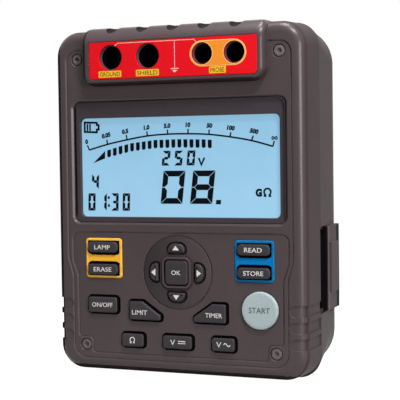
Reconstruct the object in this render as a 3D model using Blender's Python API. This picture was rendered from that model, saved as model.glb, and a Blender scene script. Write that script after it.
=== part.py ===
"""Hand-held insulation resistance tester, standing upright on its base.

Metres, +Z up, the panel facing -Y. The origin lies on the base, halfway through the depth.
"Depth" in the names below is measured back from the panel's face, so the terminal block is negative.
"""

import math

import bmesh
import bpy
from mathutils import Matrix, Vector

for leftover in list(bpy.data.objects):
    bpy.data.objects.remove(leftover)

MM = 0.001

# Fits
GAP = 0.3 * MM
KEY_CLEARANCE = 0.4 * MM
OVERSHOOT = 2.0 * MM

# Case walls and depths
WALL = 2.5 * MM
FACE_WALL = 3.0 * MM
FRONT_DEPTH = 25.0 * MM
REAR_STRAIGHT = 26.7 * MM
REAR_CROWN = 34.5 * MM
LIP_REACH = 3.0 * MM
LIP_WALL = 1.4 * MM
EDGE_ROUND = 6.0 * MM
EDGE_STEPS = 4
SIDE_DRAFT = 0.8 * MM
REAR_DRAFT = 1.8 * MM
CROWN_SIDE = 20.0 * MM
CROWN_TOP = 14.0 * MM
FOOT_ROUND = 12.0 * MM
FOOT_ROUND_DEPTH = 16.5 * MM
FRONT_CORNER = 14.5 * MM
PARTING_CORNER = 13.5 * MM
REAR_CORNER = 20.5 * MM
REAR_FOOT_CORNER = 24.5 * MM
FRONT_LIFT = 1.5 * MM

# Panel layout, stacked upwards from the base
LOW_ROW_Z = 21.0 * MM
MIDDLE_ROW_RISE = 20.0 * MM
PLATE_RISE = 27.3 * MM
SCREEN_RISE = 20.8 * MM
SCREEN_WIDTH = 131.2 * MM
SCREEN_HEIGHT = 70.6 * MM
SCREEN_TO_BLOCK = 8.7 * MM
BLOCK_HEIGHT = 33.6 * MM
SIDE_MARGIN = 12.2 * MM

# Display
WINDOW_WIDTH = 123.5 * MM
WINDOW_HEIGHT = 57.8 * MM
WINDOW_SILL = 3.3 * MM
WINDOW_CORNER = 3.0 * MM
SCREEN_CORNER = 4.0 * MM
SCREEN_RECESS = 2.2 * MM
FRAME_FLANGE = 2.9 * MM
FRAME_FLANGE_THICK = 1.2 * MM
LENS_SET_BACK = 0.4 * MM
LCD_THICK = 1.8 * MM
BACKLIGHT_THICK = 3.0 * MM

# Terminal block and jacks
BLOCK_PROUD = 6.5 * MM
BLOCK_WIDTH = 112.4 * MM
BLOCK_CROWN = 0.3 * MM
BLOCK_TOP_CORNER = 3.5 * MM
PANEL_WIDTH = 102.7 * MM
PANEL_HEIGHT = 21.3 * MM
PANEL_OFFSET = 0.8 * MM
PANEL_LIFT = 3.6 * MM
PANEL_TOP_CORNER = 0.8 * MM
PANEL_LOW_CORNER = 2.4 * MM
PANEL_THICK = 0.8 * MM
JACK_BORE = 14.4 * MM
SMALL_JACK_BORE = 12.2 * MM
JACK_WALL = 1.3 * MM
JACK_DROP = 9.0 * MM
JACK_CENTRE_GAP = 33.3 * MM
JACK_LEFT_PITCH = 23.3 * MM
JACK_RIGHT_PITCH = 19.1 * MM
JACK_OFFSET = 3.1 * MM
JACK_FLOOR_DEPTH = 18.0 * MM
JACK_FLOOR = 2.0 * MM
JACK_FLANGE = 2.5 * MM
CONTACT_RADIUS = 3.0 * MM
CONTACT_BORE = 2.0 * MM
CONTACT_SET_BACK = 15.0 * MM
CONTACT_TAIL = 5.0 * MM
NOTCH_COUNT = 5
NOTCH_PITCH = 19.0 * MM
NOTCH_RADIUS = 4.5 * MM
NOTCH_FRONT_DEEP = 5.0 * MM
NOTCH_BACK_DEEP = 1.1 * MM
NOTCH_REACH = 9.0 * MM

# Keys
KEY_PROUD = 1.8 * MM
KEY_TRAVEL = 1.2 * MM
KEY_EDGE = 0.7 * MM
KEY_FLANGE = 1.2 * MM
KEY_FLANGE_THICK = 1.0 * MM
KEY_CORNER = 2.2 * MM
STEM_RADIUS = 2.2 * MM
STEM_CLEARANCE = 0.8 * MM
SIDE_KEY_X = 46.7 * MM
BAR_KEY_WIDTH = 20.8 * MM
BAR_KEY_HEIGHT = 7.6 * MM
BAR_KEY_PITCH = 13.0 * MM
PLATE_SIZE = 23.4 * MM
PLATE_CORNER = 2.0 * MM
PLATE_THICK = 0.6 * MM
POWER_X = 47.2 * MM
POWER_WIDTH = 20.0 * MM
POWER_HEIGHT = 10.4 * MM
WING_INNER = 9.6 * MM
WING_WIDTH = 21.0 * MM
WING_HEIGHT = 12.0 * MM
WING_TOP = 10.0 * MM
WING_TIP = 3.8 * MM
WING_DROP = 2.6 * MM
MODE_PITCH = 28.1 * MM
MODE_WIDTH = 15.1 * MM
MODE_CENTRE_WIDTH = 19.3 * MM
MODE_HEIGHT = 8.8 * MM
TEST_X = 50.0 * MM
TEST_DIAMETER = 21.1 * MM
NAV_RISE = 20.0 * MM
NAV_DIAMETER = 42.4 * MM
NAV_DOME = 0.9 * MM
NAV_GROOVE = 0.6 * MM
NAV_REACH = 14.0 * MM
ARROW_LONG = 11.6 * MM
ARROW_SHORT = 6.2 * MM
ARROW_INNER_CORNER = 1.3 * MM
ARROW_OUTER_CORNER = 4.4 * MM
ENTER_SIZE = 14.3 * MM

# Keypad parts behind the panel
MAT_THICK = 1.0 * MM
MAT_MARGIN = 4.0 * MM
BOARD_THICK = 1.6 * MM
PILLAR_RADIUS = 2.5 * MM

# Case screws
SCREW_TOP_INSET = 17.5 * MM
SCREW_TOP_SIDE = 15.4 * MM
SCREW_LOW_Z = 17.0 * MM
SCREW_LOW_SIDE = 18.7 * MM
SCREW_HEAD = 6.6 * MM
SCREW_HEAD_THICK = 1.8 * MM
SCREW_SHANK = 3.0 * MM
SCREW_SOCKET = 3.2 * MM
SCREW_SOCKET_DEEP = 1.0 * MM
SCREW_POCKET = 2.2 * MM
SCREW_BITE = 12.0 * MM
BOSS_RADIUS = 4.5 * MM
POST_RADIUS = 4.0 * MM
POST_REACH = 22.0 * MM
RIB_THICK = 2.0 * MM

# Finger grips on both sides of the front shell
GRIP_COUNT = 3
GRIP_LOW_Z = 22.6 * MM
GRIP_PITCH = 9.25 * MM
GRIP_HEIGHT = 6.4 * MM
GRIP_DEEP = 0.7 * MM
GRIP_START = 10.8 * MM
GRIP_END_STEPS = 6

# Side port bay, its sockets and the sliding cover
BAY_LOW_Z = 38.5 * MM
BAY_HEIGHT = 46.0 * MM
BAY_WIDTH = 13.2 * MM
BAY_DEEP = 17.0 * MM
BAY_WALL = 1.4 * MM
COVER_LENGTH = 27.4 * MM
COVER_THICK = 2.4 * MM
COVER_OVERLAP = 1.6 * MM
COVER_TRAVEL = 14.0 * MM
TONGUE = 1.2 * MM
TONGUE_THICK = 0.8 * MM
TONGUE_LENGTH = 18.0 * MM
COVER_GRIP_PROUD = 0.9 * MM
COVER_GRIP_LENGTH = 15.0 * MM
COVER_GRIP_HEIGHT = 29.5 * MM
COVER_SLIT_WIDTH = 1.8 * MM
COVER_SLIT_DEEP = 0.8 * MM
COVER_CHAMFER = 2.0 * MM
SLAB = 2.6 * MM
SOCKET_REACH = 9.5 * MM
SOCKET_WIDTH = 10.0 * MM
DATA_HEIGHT = 12.0 * MM
DATA_SHELL = 1.0 * MM
DATA_DEEP = 7.0 * MM
POWER_SOCKET_HEIGHT = 11.0 * MM
POWER_SOCKET_BORE = 6.4 * MM
POWER_SOCKET_PIN = 2.0 * MM
SOCKET_RISE = 15.0 * MM
SOCKET_PITCH = 20.0 * MM

# Batteries, their tray and cover
CELL_DIAMETER = 26.2 * MM
CELL_LENGTH = 49.2 * MM
CELL_NUB = 3.2 * MM
CELL_NUB_LONG = 0.8 * MM
CELL_COLUMNS = 4
CELL_ROWS = 2
CELL_SPACE = 0.6 * MM
TRAY_WALL = 1.5 * MM
TRAY_LOW_Z = 13.0 * MM
COVER_SEAT = 0.8 * MM
BATTERY_COVER_THICK = 2.2 * MM
BATTERY_TAB = 6.0 * MM
TRAY_BOSS_RADIUS = 3.5 * MM
STANDOFF_RADIUS = 3.0 * MM
STANDOFF_REACH = 4.1 * MM

# Parts on the main board
TRANSFORMER_WIDTH = 38.0 * MM
TRANSFORMER_HEIGHT = 32.0 * MM
TRANSFORMER_DEEP = 24.0 * MM
BUZZER_DIAMETER = 22.0 * MM
BUZZER_DEEP = 8.0 * MM
MAIN_BOARD_WIDTH = 104.0 * MM

# Worked out from the sizes above
SCREEN_LOW = LOW_ROW_Z + MIDDLE_ROW_RISE + PLATE_RISE + SCREEN_RISE
SCREEN_HIGH = SCREEN_LOW + SCREEN_HEIGHT
BLOCK_LOW = SCREEN_HIGH + SCREEN_TO_BLOCK
HEIGHT = BLOCK_LOW + BLOCK_HEIGHT
HALF_WIDTH = SCREEN_WIDTH / 2 + SIDE_MARGIN
BACK_DEPTH = FRONT_DEPTH + REAR_STRAIGHT + REAR_CROWN + GAP
FACE_Y = -(BACK_DEPTH - BLOCK_PROUD) / 2
PARTING = FRONT_DEPTH + GAP
MIDDLE_ROW_Z = LOW_ROW_Z + MIDDLE_ROW_RISE
PLATE_Z = MIDDLE_ROW_Z + PLATE_RISE
NAV_Z = MIDDLE_ROW_Z + NAV_RISE
WINDOW_LOW = SCREEN_LOW + WINDOW_SILL
PANEL_LOW = BLOCK_LOW + PANEL_LIFT
PANEL_HIGH = PANEL_LOW + PANEL_HEIGHT
JACK_Z = PANEL_HIGH - JACK_DROP
JACK_BORES = (JACK_BORE, JACK_BORE, SMALL_JACK_BORE, SMALL_JACK_BORE)
FRAME_BACK = FACE_WALL + GAP + FRAME_FLANGE_THICK
LCD_FRONT = FRAME_BACK + GAP
BACKLIGHT_FRONT = LCD_FRONT + LCD_THICK + GAP
BOARD_FRONT = BACKLIGHT_FRONT + BACKLIGHT_THICK + GAP
FLANGE_FRONT = FACE_WALL + GAP
FLANGE_BACK = FLANGE_FRONT + KEY_FLANGE_THICK
MAT_FRONT = FLANGE_BACK + KEY_TRAVEL + GAP
STEM_END = BOARD_FRONT - KEY_TRAVEL - GAP
TRAY_FRONT = BACK_DEPTH - WALL - GAP - CELL_DIAMETER - CELL_SPACE - TRAY_WALL - 3.4 * MM
COVER_OPEN = PARTING + COVER_TRAVEL + GAP
COVER_FACE = HALF_WIDTH - GAP
PANEL_CORNERS = (PANEL_LOW_CORNER, PANEL_LOW_CORNER, PANEL_TOP_CORNER, PANEL_TOP_CORNER)


# Mesh helpers
def at(x, depth, z):
    return Vector((x, FACE_Y + depth, z))


def rounded(points, radius, steps, inset=0.0):
    """Round-cornered outline of a convex polygon listed anticlockwise, moved in by inset.

    The radius is one number, or one for each corner.
    """
    corners = [Vector(point) for point in points]
    count = len(corners)
    radii = radius if isinstance(radius, tuple) else (radius,) * count
    outline = []
    for index, corner in enumerate(corners):
        ahead = (corners[(index + 1) % count] - corner).normalized()
        behind = (corners[index - 1] - corner).normalized()
        inward_ahead = Vector((-ahead.y, ahead.x))
        inward_behind = Vector((behind.y, -behind.x))
        shift = (inward_ahead + inward_behind) * inset / (1 + inward_ahead.dot(inward_behind))
        half_angle = behind.angle(ahead) / 2
        round_by = max(radii[index] - inset, 0.2 * MM)
        towards = (ahead + behind).normalized()
        centre = corner + shift + towards * round_by / math.sin(half_angle)
        start = corner + shift + behind * round_by / math.tan(half_angle) - centre
        turn = math.pi - 2 * half_angle
        for step in range(steps + 1):
            outline.append(centre + Matrix.Rotation(turn * step / steps, 2) @ start)
    return outline


def rectangle(x, z, width, height):
    return [
        (x - width / 2, z - height / 2),
        (x + width / 2, z - height / 2),
        (x + width / 2, z + height / 2),
        (x - width / 2, z + height / 2),
    ]


def ring(outline, depth):
    return [at(point[0], depth, point[1]) for point in outline]


def finish(name, shape, origin=(0, 0, 0)):
    """Turns a bmesh into an object whose origin is at the given point."""
    bmesh.ops.translate(shape, verts=shape.verts, vec=-Vector(origin))
    bmesh.ops.recalc_face_normals(shape, faces=shape.faces)
    mesh = bpy.data.meshes.new(name)
    shape.to_mesh(mesh)
    shape.free()
    made = bpy.data.objects.new(name, mesh)
    made.location = origin
    bpy.context.scene.collection.objects.link(made)
    return made


def loft(name, loops, origin=(0, 0, 0)):
    """Closed solid through loops of equal length, capped at both ends."""
    shape = bmesh.new()
    rings = [[shape.verts.new(point) for point in loop] for loop in loops]
    for first, second in zip(rings, rings[1:]):
        for index in range(len(first)):
            shape.faces.new((first[index - 1], first[index], second[index], second[index - 1]))
    shape.faces.new(rings[0])
    shape.faces.new(rings[-1])
    return finish(name, shape, origin)


def prism(name, outline, front, back):
    return loft(name, [ring(outline, front), ring(outline, back)])


def box(name, x_range, depth_range, z_range, edge=0.0, origin=(0, 0, 0)):
    """Block between the given limits, with its edges bevelled where edge is given."""
    shape = bmesh.new()
    bmesh.ops.create_cube(shape, size=1.0)
    low = at(x_range[0], depth_range[0], z_range[0])
    high = at(x_range[1], depth_range[1], z_range[1])
    bmesh.ops.scale(shape, verts=shape.verts, vec=high - low)
    bmesh.ops.translate(shape, verts=shape.verts, vec=(low + high) / 2)
    if edge:
        bmesh.ops.bevel(shape, geom=shape.edges, offset=edge, segments=1, affect="EDGES")
    return finish(name, shape, origin)


def circle(x, z, radius, sides):
    turns = [2 * math.pi * index / sides for index in range(sides)]
    return [(x + radius * math.cos(turn), z + radius * math.sin(turn)) for turn in turns]


def turned(name, x, z, profile, sides):
    """Solid turned about the front-to-back line through (x, z), from (radius, depth) pairs."""
    return loft(name, [ring(circle(x, z, radius, sides), depth) for radius, depth in profile])


def rod(name, x, z, radius, front, back, sides=16):
    return turned(name, x, z, [(radius, front), (radius, back)], sides)


def combine(body, tool, operation="DIFFERENCE"):
    """Cuts the tool from the body, or joins it on, and removes the tool."""
    step = body.modifiers.new(operation.lower(), "BOOLEAN")
    step.operation = operation
    step.solver = "EXACT"
    step.object = tool
    graph = bpy.context.evaluated_depsgraph_get()
    made = bpy.data.meshes.new_from_object(body.evaluated_get(graph))
    body.modifiers.clear()
    body.data = made
    bpy.data.objects.remove(tool)
    return body


def mirrored_x(values):
    return [side * value for value in values for side in (-1, 1)]


# Case
def case_outline(half_width, low, high, radius, inset=0.0):
    width = 2 * half_width
    return rounded(rectangle(0, (low + high) / 2, width, high - low), radius, 6, inset)


def front_loop(depth, inset):
    """Front shell's outline: a little wider at the parting line than at the face."""
    share = depth / FRONT_DEPTH
    half_width = HALF_WIDTH - SIDE_DRAFT * (1 - share)
    low = FRONT_LIFT + SIDE_DRAFT * (1 - share)
    high = HEIGHT - GAP - SIDE_DRAFT * (1 - share)
    radius = FRONT_CORNER + (PARTING_CORNER - FRONT_CORNER) * share
    return ring(case_outline(half_width, low, high, radius, inset), depth)


def rear_loop(depth, inset):
    """Rear shell's outline: nearly straight, then an elliptical crown towards the back."""
    along = max(depth - PARTING, 0.0)
    share = min(along / REAR_STRAIGHT, 1.0)
    rise = max(along - REAR_STRAIGHT, 0.0) / REAR_CROWN
    crown = 1 - math.sqrt(max(1 - rise * rise, 0.0))
    foot = max(depth - BACK_DEPTH + FOOT_ROUND_DEPTH, 0.0) / FOOT_ROUND_DEPTH
    lift = 1 - math.sqrt(max(1 - foot * foot, 0.0))
    half_width = HALF_WIDTH - REAR_DRAFT * share - CROWN_SIDE * crown
    top = PARTING_CORNER + (REAR_CORNER - PARTING_CORNER) * share - CROWN_TOP * crown * 0.8
    base = PARTING_CORNER + (REAR_FOOT_CORNER - PARTING_CORNER) * share - CROWN_TOP * crown * 0.8
    high = HEIGHT - CROWN_TOP * crown
    outline = case_outline(half_width, FOOT_ROUND * lift, high, (base, base, top, top), inset)
    return ring(outline, depth)


def screw_places():
    top = [(x, HEIGHT - SCREW_TOP_INSET) for x in mirrored_x([HALF_WIDTH - SCREW_TOP_SIDE])]
    low = [(x, SCREW_LOW_Z) for x in mirrored_x([HALF_WIDTH - SCREW_LOW_SIDE])]
    return top + low


def pillar_places():
    outer = [(x, LOW_ROW_Z + 1.0 * MM) for x in mirrored_x([MODE_PITCH + 17.0 * MM])]
    inner = [(x, NAV_Z - 6.0 * MM) for x in mirrored_x([NAV_DIAMETER / 2 + 8.6 * MM])]
    return outer + inner


def dome_profile():
    """Radius and depth of the low dome under the cursor keys, from inside the face to near its top."""
    rim = NAV_DIAMETER / 2 - NAV_GROOVE
    profile = [(rim, FACE_WALL / 2), (rim, 0.0)]
    for share in (0.8, 0.5, 0.2):
        profile.append((rim * share, NAV_DOME * (share * share - 1)))
    return profile


def terminal_block():
    """Crowned block that carries the jacks: sections that grow back from its flat front."""
    middle = BLOCK_WIDTH / 2
    low = BLOCK_LOW
    top = HEIGHT + BLOCK_CROWN
    steps = (
        (-BLOCK_PROUD, 3.4, 2.6, 8.4, 5.0),
        (0.9 * MM - BLOCK_PROUD, 1.6, 1.1, 6.4, 6.5),
        (3.0 * MM - BLOCK_PROUD, 0.4, 0.3, 3.6, 7.5),
        (6.0 * MM - BLOCK_PROUD, 0.0, 0.0, 1.0, 8.0),
        (10.0 * MM - BLOCK_PROUD, 0.0, 0.0, 0.0, 8.0),
        (FRONT_DEPTH - GAP, 0.0, 0.0, 0.0, 8.0),
    )
    loops = []
    for depth, side, under, over, corner in steps:
        radii = (corner * MM, corner * MM, BLOCK_TOP_CORNER, BLOCK_TOP_CORNER)
        outline = case_outline(middle - side * MM, low + under * MM, top - over * MM, radii)
        loops.append(ring(outline, depth))
    return loft("block", loops)


def notch_cutter(x):
    """Round notch in the block's top edge, shallower towards the back."""
    axis = HEIGHT + BLOCK_CROWN + NOTCH_RADIUS
    front = circle(x, axis - NOTCH_FRONT_DEEP, NOTCH_RADIUS, 16)
    back = circle(x, axis - NOTCH_BACK_DEEP, NOTCH_RADIUS, 16)
    return loft("notch", [ring(front, -BLOCK_PROUD - OVERSHOOT), ring(back, NOTCH_REACH)])


def edge_round_loops(sunk):
    """Loops round the case's front edge, sunk below its surface."""
    loops = []
    for index in range(EDGE_STEPS + 1):
        turn = math.pi / 2 * index / EDGE_STEPS
        depth = EDGE_ROUND * (1 - math.cos(turn))
        loops.append(front_loop(depth + sunk, EDGE_ROUND * (1 - math.sin(turn)) + sunk))
    return loops


def grip_cutter(side, z):
    """Finger slot with a round inner end, cut to one depth round the front edge and along the side."""
    half = GRIP_HEIGHT / 2
    centre = HALF_WIDTH - GRIP_START + half
    outside = HALF_WIDTH + OVERSHOOT
    outline = [(side * outside, z + half), (side * outside, z - half)]
    for index in range(GRIP_END_STEPS + 1):
        turn = math.pi * (index / GRIP_END_STEPS - 0.5)
        outline.append((side * (centre - half * math.cos(turn)), z + half * math.sin(turn)))
    slot = prism("grip", outline, -OVERSHOOT, FRONT_DEPTH + OVERSHOOT)
    back_loop = front_loop(FRONT_DEPTH + 2 * OVERSHOOT, GRIP_DEEP)
    return combine(slot, loft("core", edge_round_loops(GRIP_DEEP) + [back_loop]))


def front_shell(key_outlines):
    shell = loft("front_shell", edge_round_loops(0.0) + [front_loop(FRONT_DEPTH, 0.0)])
    combine(shell, terminal_block(), "UNION")
    # The hollow leaves out the screw bosses and the pillars that carry the key board
    hollow = loft(
        "hollow",
        [
            front_loop(FACE_WALL, WALL + EDGE_ROUND / 2),
            front_loop(FACE_WALL + EDGE_ROUND / 2, WALL),
            front_loop(FRONT_DEPTH, WALL),
            front_loop(FRONT_DEPTH + OVERSHOOT, WALL),
        ],
    )
    for x, z in screw_places():
        combine(hollow, rod("boss", x, z, BOSS_RADIUS, 0.0, FRONT_DEPTH - GAP, 10))
    for x, z in pillar_places():
        combine(hollow, rod("pillar", x, z, PILLAR_RADIUS, 0.0, BOARD_FRONT - GAP, 8))
    combine(shell, hollow)
    # Panel cut-outs
    screen = rounded(screen_rectangle(), SCREEN_CORNER, 4)
    combine(shell, prism("screen_hole", screen, -OVERSHOOT, FACE_WALL + OVERSHOOT))
    combine(shell, rod("dome_groove", 0, NAV_Z, NAV_DIAMETER / 2, -OVERSHOOT, NAV_GROOVE, 32))
    combine(shell, turned("dome", 0, NAV_Z, dome_profile(), 32), "UNION")
    for x in (-SIDE_KEY_X, SIDE_KEY_X):
        seat = rounded(rectangle(x, PLATE_Z, PLATE_SIZE, PLATE_SIZE), PLATE_CORNER, 2, -GAP)
        combine(shell, prism("plate_seat", seat, -OVERSHOOT, PLATE_THICK + GAP))
    for outline, radius, steps in key_outlines:
        hole = rounded(outline, radius, steps, -KEY_CLEARANCE)
        combine(shell, prism("key_hole", hole, -OVERSHOOT, FACE_WALL + OVERSHOOT))
    # Terminal block cut-outs
    seat = rounded(panel_rectangle(), PANEL_CORNERS, 3, -GAP)
    combine(shell, prism("panel_seat", seat, -BLOCK_PROUD - OVERSHOOT, PANEL_THICK + GAP - BLOCK_PROUD))
    opening = rounded(jack_rectangle(), 2.0 * MM, 2, -GAP)
    combine(shell, prism("jack_opening", opening, -BLOCK_PROUD - OVERSHOOT, FACE_WALL + OVERSHOOT))
    for index in range(NOTCH_COUNT):
        combine(shell, notch_cutter(NOTCH_PITCH * (index - (NOTCH_COUNT - 1) / 2)))
    for x, z in screw_places():
        combine(shell, rod("pocket", x, z, SCREW_HEAD / 2 + GAP, -OVERSHOOT, SCREW_POCKET))
        combine(shell, rod("bore", x, z, SCREW_SHANK / 2 + GAP, 0.0, FRONT_DEPTH + OVERSHOOT, 12))
    for side in (-1, 1):
        for index in range(GRIP_COUNT):
            combine(shell, grip_cutter(side, GRIP_LOW_Z + GRIP_PITCH * index))
    return shell


def rear_shell():
    loops = [front_loop(PARTING - LIP_REACH, WALL + GAP), front_loop(PARTING, WALL + GAP)]
    loops.append(rear_loop(PARTING, 0.0))
    hollow_inset = WALL + GAP + LIP_WALL
    hollow_loops = [front_loop(PARTING - LIP_REACH - OVERSHOOT, hollow_inset)]
    hollow_loops.append(front_loop(PARTING + LIP_WALL, hollow_inset))
    hollow_loops.append(rear_loop(PARTING + WALL, hollow_inset))
    hollow_loops.append(rear_loop(PARTING + WALL + LIP_WALL, WALL))
    crown_start = PARTING + REAR_STRAIGHT
    for index in range(6):
        turn = math.pi / 2 * index / 5
        loops.append(rear_loop(crown_start + REAR_CROWN * math.sin(turn), 0.0))
        if index < 5:
            hollow_loops.append(rear_loop(crown_start + (REAR_CROWN - WALL) * math.sin(turn), WALL))
    hollow_loops.append(rear_loop(BACK_DEPTH - WALL, WALL + 1.0 * MM))
    shell = loft("rear_shell", loops)
    hollow = loft("hollow", hollow_loops)
    # Kept from the hollow: the port bay, the cover's backing, the screw posts and their ribs
    bay_back = PARTING + BAY_WALL + BAY_WIDTH + BAY_WALL
    bay_z = (BAY_LOW_Z - BAY_WALL, BAY_LOW_Z + BAY_HEIGHT + BAY_WALL)
    outside = HALF_WIDTH + OVERSHOOT
    bay_x = (COVER_FACE - COVER_THICK - BAY_DEEP - BAY_WALL, outside)
    combine(hollow, box("bay_block", bay_x, (PARTING + GAP / 2, bay_back), bay_z))
    slab_x = (COVER_FACE - COVER_THICK - GAP - SLAB, outside)
    slab_depth = (PARTING + WALL + GAP, COVER_OPEN + COVER_LENGTH + WALL)
    slab_z = (cover_heights()[0] - TONGUE - WALL, cover_heights()[1] + TONGUE + WALL)
    combine(hollow, box("slab", slab_x, slab_depth, slab_z))
    for x, z in screw_places():
        reach = (PARTING + GAP, PARTING + POST_REACH)
        rib_reach = (PARTING + WALL + GAP * 2, PARTING + POST_REACH - GAP)
        combine(hollow, rod("post", x, z, POST_RADIUS, *reach, 10))
        outward = math.copysign(HALF_WIDTH, x)
        combine(hollow, box("rib", sorted((x, outward)), rib_reach, (z - RIB_THICK / 2, z + RIB_THICK / 2)))
    combine(shell, hollow)
    # Bay, the cover's pocket and the grooves for its tongues
    combine(shell, box("bay", (COVER_FACE - COVER_THICK - BAY_DEEP, outside), bay_depths(), bay_heights()))
    pocket_z = (cover_heights()[0] - GAP, cover_heights()[1] + GAP)
    pocket_depth = (PARTING - GAP, COVER_OPEN + COVER_LENGTH + OVERSHOOT * 2)
    pocket_x = (COVER_FACE - COVER_THICK - GAP, outside)
    combine(shell, box("pocket", pocket_x, pocket_depth, pocket_z))
    groove_x = (pocket_x[0], COVER_FACE - COVER_THICK + TONGUE_THICK + GAP)
    groove_z = (pocket_z[0] - TONGUE, pocket_z[1] + TONGUE)
    combine(shell, box("groove", groove_x, pocket_depth, groove_z))
    for z, height in socket_places():
        wall_x = (bay_x[0] - OVERSHOOT, COVER_FACE - COVER_THICK - BAY_DEEP + OVERSHOOT)
        depths = (bay_middle() - SOCKET_WIDTH / 2 - GAP, bay_middle() + SOCKET_WIDTH / 2 + GAP)
        heights = (z - height / 2 - GAP, z + height / 2 + GAP)
        combine(shell, box("socket_hole", wall_x, depths, heights))
    # Battery opening and the screws' pilot holes
    opening = rounded(battery_cover_rectangle(), 3.0 * MM, 2, -GAP)
    combine(shell, prism("battery_hole", opening, BACK_DEPTH - WALL - OVERSHOOT, BACK_DEPTH + OVERSHOOT))
    for x, z in screw_places():
        pilot = (PARTING - GAP, PARTING + SCREW_BITE + GAP)
        combine(shell, rod("pilot", x, z, SCREW_SHANK / 2 + GAP, *pilot, 12))
    return shell


def case_screw(name, x, z):
    head_front = SCREW_POCKET - GAP - SCREW_HEAD_THICK
    profile = (
        (SCREW_SOCKET / 2, head_front + SCREW_SOCKET_DEEP),
        (SCREW_SOCKET / 2, head_front),
        (SCREW_HEAD / 2 - 0.5 * MM, head_front),
        (SCREW_HEAD / 2, head_front + 0.5 * MM),
        (SCREW_HEAD / 2, SCREW_POCKET - GAP),
        (SCREW_SHANK / 2, SCREW_POCKET - GAP),
        (SCREW_SHANK / 2, PARTING + SCREW_BITE),
    )
    return turned(name, x, z, profile, 10)


# Display
def screen_rectangle():
    return rectangle(0, SCREEN_LOW + SCREEN_HEIGHT / 2, SCREEN_WIDTH, SCREEN_HEIGHT)


def window_rectangle():
    return rectangle(0, WINDOW_LOW + WINDOW_HEIGHT / 2, WINDOW_WIDTH, WINDOW_HEIGHT)


def display_frame():
    flange = FACE_WALL + GAP
    outer = [(SCREEN_RECESS, GAP), (flange, GAP), (flange, -FRAME_FLANGE), (FRAME_BACK, -FRAME_FLANGE)]
    loops = [ring(rounded(screen_rectangle(), SCREEN_CORNER, 4, inset), depth) for depth, inset in outer]
    frame = loft("display_frame", loops)
    window = rounded(window_rectangle(), WINDOW_CORNER, 4)
    combine(frame, prism("window", window, -OVERSHOOT, FRAME_BACK + OVERSHOOT))
    return frame


def display_lens():
    outline = rounded(window_rectangle(), WINDOW_CORNER, 4, GAP)
    return prism("display_lens", outline, SCREEN_RECESS + LENS_SET_BACK, FRAME_BACK)


def display_layer(name, front, thick):
    """LCD glass and backlight fill the frame's back, inside its flange."""
    outline = rounded(screen_rectangle(), SCREEN_CORNER, 2)
    return prism(name, outline, front, front + thick)


# Terminals
def panel_rectangle():
    return rectangle(PANEL_OFFSET, PANEL_LOW + PANEL_HEIGHT / 2, PANEL_WIDTH, PANEL_HEIGHT)


def jack_places():
    left = JACK_OFFSET - JACK_CENTRE_GAP / 2
    right = JACK_OFFSET + JACK_CENTRE_GAP / 2
    return (left - JACK_LEFT_PITCH, left, right, right + JACK_RIGHT_PITCH)


def jack_rectangle():
    reach = max(abs(x) for x in jack_places()) + JACK_BORE / 2 + JACK_WALL
    return rectangle(0, JACK_Z, 2 * reach, JACK_BORE + 2 * JACK_WALL)


def terminal_panel():
    outline = rounded(panel_rectangle(), PANEL_CORNERS, 3)
    panel = prism("terminal_panel", outline, -BLOCK_PROUD, PANEL_THICK - BLOCK_PROUD)
    for x, bore in zip(jack_places(), JACK_BORES):
        hole = rod("hole", x, JACK_Z, bore / 2, -BLOCK_PROUD - OVERSHOOT, OVERSHOOT - BLOCK_PROUD, 24)
        combine(panel, hole)
    return panel


def jack_block():
    """Insulating housing behind the red panel, held by a flange inside the front shell."""
    front = PANEL_THICK + GAP - BLOCK_PROUD
    flange = (FACE_WALL + GAP, FACE_WALL + GAP + 2.0 * MM)
    back = JACK_FLOOR_DEPTH + JACK_FLOOR
    plan = [(front, 0.0), (flange[0], 0.0)]
    plan += [(depth, -JACK_FLANGE) for depth in flange]
    plan += [(flange[1], 0.0), (back, 0.0)]
    loops = [ring(rounded(jack_rectangle(), 2.0 * MM, 2, inset), depth) for depth, inset in plan]
    block = loft("jack_block", loops)
    for x, bore in zip(jack_places(), JACK_BORES):
        combine(block, rod("well", x, JACK_Z, bore / 2 - GAP, front - OVERSHOOT, JACK_FLOOR_DEPTH, 20))
        combine(block, rod("way", x, JACK_Z, CONTACT_RADIUS + GAP * 2, 0.0, back + OVERSHOOT, 10))
    return block


def jack_contact(name, x):
    tip = CONTACT_SET_BACK - BLOCK_PROUD
    back = JACK_FLOOR_DEPTH + JACK_FLOOR
    profile = (
        (CONTACT_BORE, back),
        (CONTACT_BORE, tip),
        (CONTACT_RADIUS, tip),
        (CONTACT_RADIUS, back + GAP),
        (CONTACT_RADIUS + 1.5 * MM, back + GAP),
        (CONTACT_RADIUS + 1.5 * MM, back + 1.5 * MM),
        (CONTACT_BORE, back + 1.5 * MM),
        (CONTACT_BORE, back + CONTACT_TAIL),
    )
    return turned(name, x, JACK_Z, profile, 10)


# Keys
def wing(side):
    """Five-sided key beside the cursor pad, its slanted edge turned to the pad."""
    low = MIDDLE_ROW_Z - WING_DROP - WING_HEIGHT / 2
    high = low + WING_HEIGHT
    outer = WING_INNER + WING_WIDTH
    points = [
        (-outer, low),
        (-WING_INNER, low),
        (-WING_INNER, low + WING_TIP),
        (WING_TOP - outer, high),
        (-outer, high),
    ]
    if side > 0:
        points = [(-x, z) for x, z in reversed(points)]
    return points


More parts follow.
